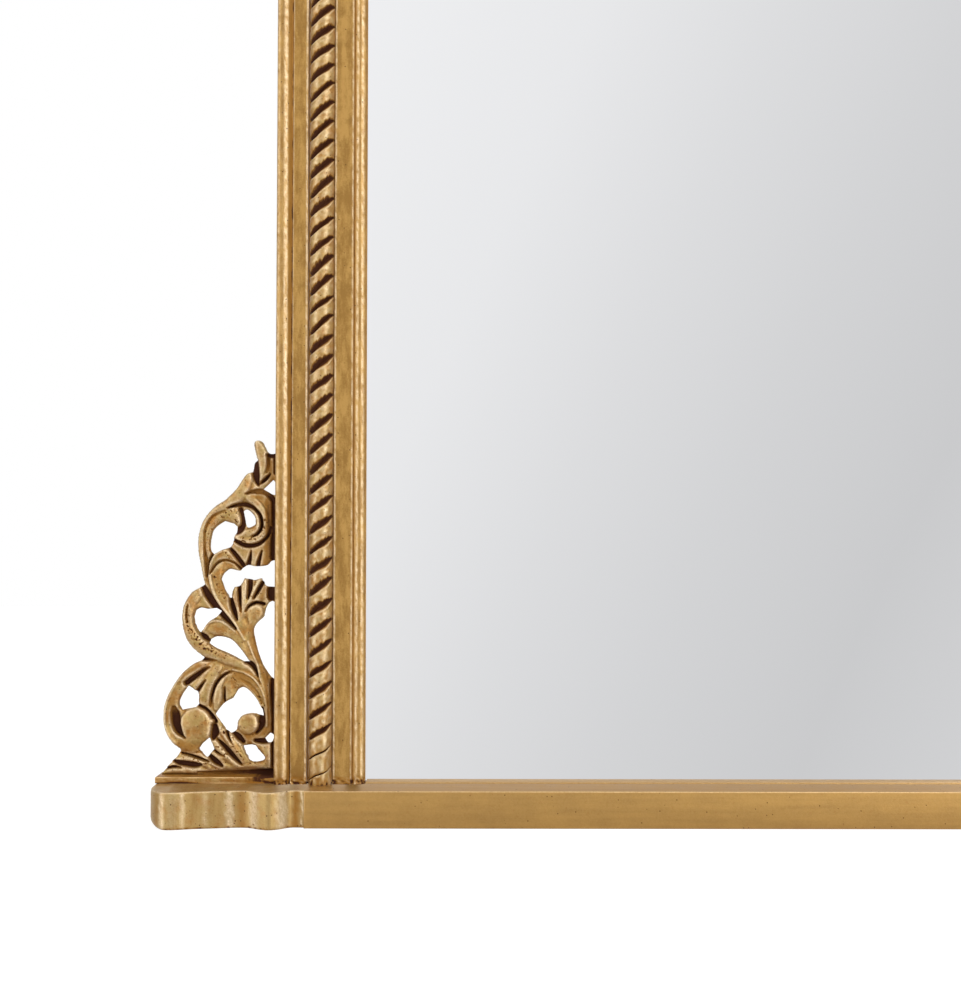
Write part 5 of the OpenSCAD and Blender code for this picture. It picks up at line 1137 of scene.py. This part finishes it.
# Mirror glass: 5 mm float glass, silvered and backed, flat and polished, with a trace of dust.
silver, t, shader, where = blank_material("silvered_float_glass")
dust = add_node(t, "TexNoise", {"Vector": where, "Scale": 9.0, "Detail": 6.0, "Roughness": 0.6})
haze = add_node(t, "MapRange", {0: dust, 1: 0.35, 2: 0.75, 3: 0.0, 4: 0.018})
t.links.new(haze.outputs[0], shader.inputs["Roughness"])
shader.inputs["Base Color"].default_value = (0.925, 0.93, 0.935, 1.0)
shader.inputs["Metallic"].default_value = 1.0


def coat(node_name, finish):
    """Gives a piece that keeps its CAD shape the finish of what it is made of."""
    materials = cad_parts[node_name].data.materials
    materials.clear()
    materials.append(finish)


coat("mirror_glass", silver)


def plain_finish(name, dark, light, rough, metal, grain_mm, bump_mm):
    """A plain material with its own fine grain: two tones, uneven gloss and a low relief."""
    mat, t, shader, where = blank_material(name)
    grain = add_node(t, "TexNoise", {"Vector": where, "Scale": 1000.0 / grain_mm, "Detail": 4.0,
                                     "Roughness": 0.65})
    cloud = add_node(t, "TexNoise", {"Vector": where, "Scale": 60.0, "Detail": 3.0})
    tone = add_node(t, "Math", {0: cloud, 1: 0.5, 2: 0.0}, operation="MULTIPLY_ADD")
    tone = add_node(t, "Math", {0: grain, 1: 0.5, 2: tone}, operation="MULTIPLY_ADD")
    tone = add_node(t, "MapRange", {0: tone, 1: 0.38, 2: 0.62})
    colour = add_node(t, "Mix", {0: tone, 6: hex_colour(dark), 7: hex_colour(light)}, data_type="RGBA")
    gloss = add_node(t, "MapRange", {0: tone, 3: rough + 0.06, 4: rough - 0.06})
    bump = add_node(t, "Bump", {"Height": grain, "Strength": 0.5, "Distance": bump_mm * MM})
    t.links.new(colour.outputs[2], shader.inputs["Base Color"])
    t.links.new(gloss.outputs[0], shader.inputs["Roughness"])
    t.links.new(bump.outputs[0], shader.inputs["Normal"])
    shader.inputs["Metallic"].default_value = metal
    return mat


# Back and fixings: a raw fibreboard back, rubber blocks and bumpers, beech dowels, and zinc-plated steel
# screws, plates, straps and rings. These keep their CAD shapes and get the finish of what they are made of.
fibreboard = plain_finish("raw_fibreboard", "84643f", "927049", 0.8, 0.0, 1.2, 0.12)
rubber = plain_finish("matt_moulded_rubber", "151515", "262524", 0.7, 0.0, 0.8, 0.05)
beech = wood("beech_dowels", "d0ac7c", "b58d5c", (1.0, 1.0, 0.1))
zinc = plain_finish("dull_zinc_plating", "969a9e", "a8acaf", 0.36, 1.0, 0.7, 0.02)
for finish, names in (
    (fibreboard, ("backing_board",)),
    (rubber, ("setting_blocks", "edge_packers", "wall_bumper_left", "wall_bumper_right")),
    (beech, ("frame_dowels", "end_block_dowels")),
    (zinc, ("backing_screws", "base_screws", "joint_plates", "joint_plate_screws", "carving_pins",
            "hanger_screws", "bumper_screws", "hanger_strap_left", "hanger_strap_right",
            "hanger_ring_left", "hanger_ring_right")),
):
    for name in names:
        coat(name, finish)
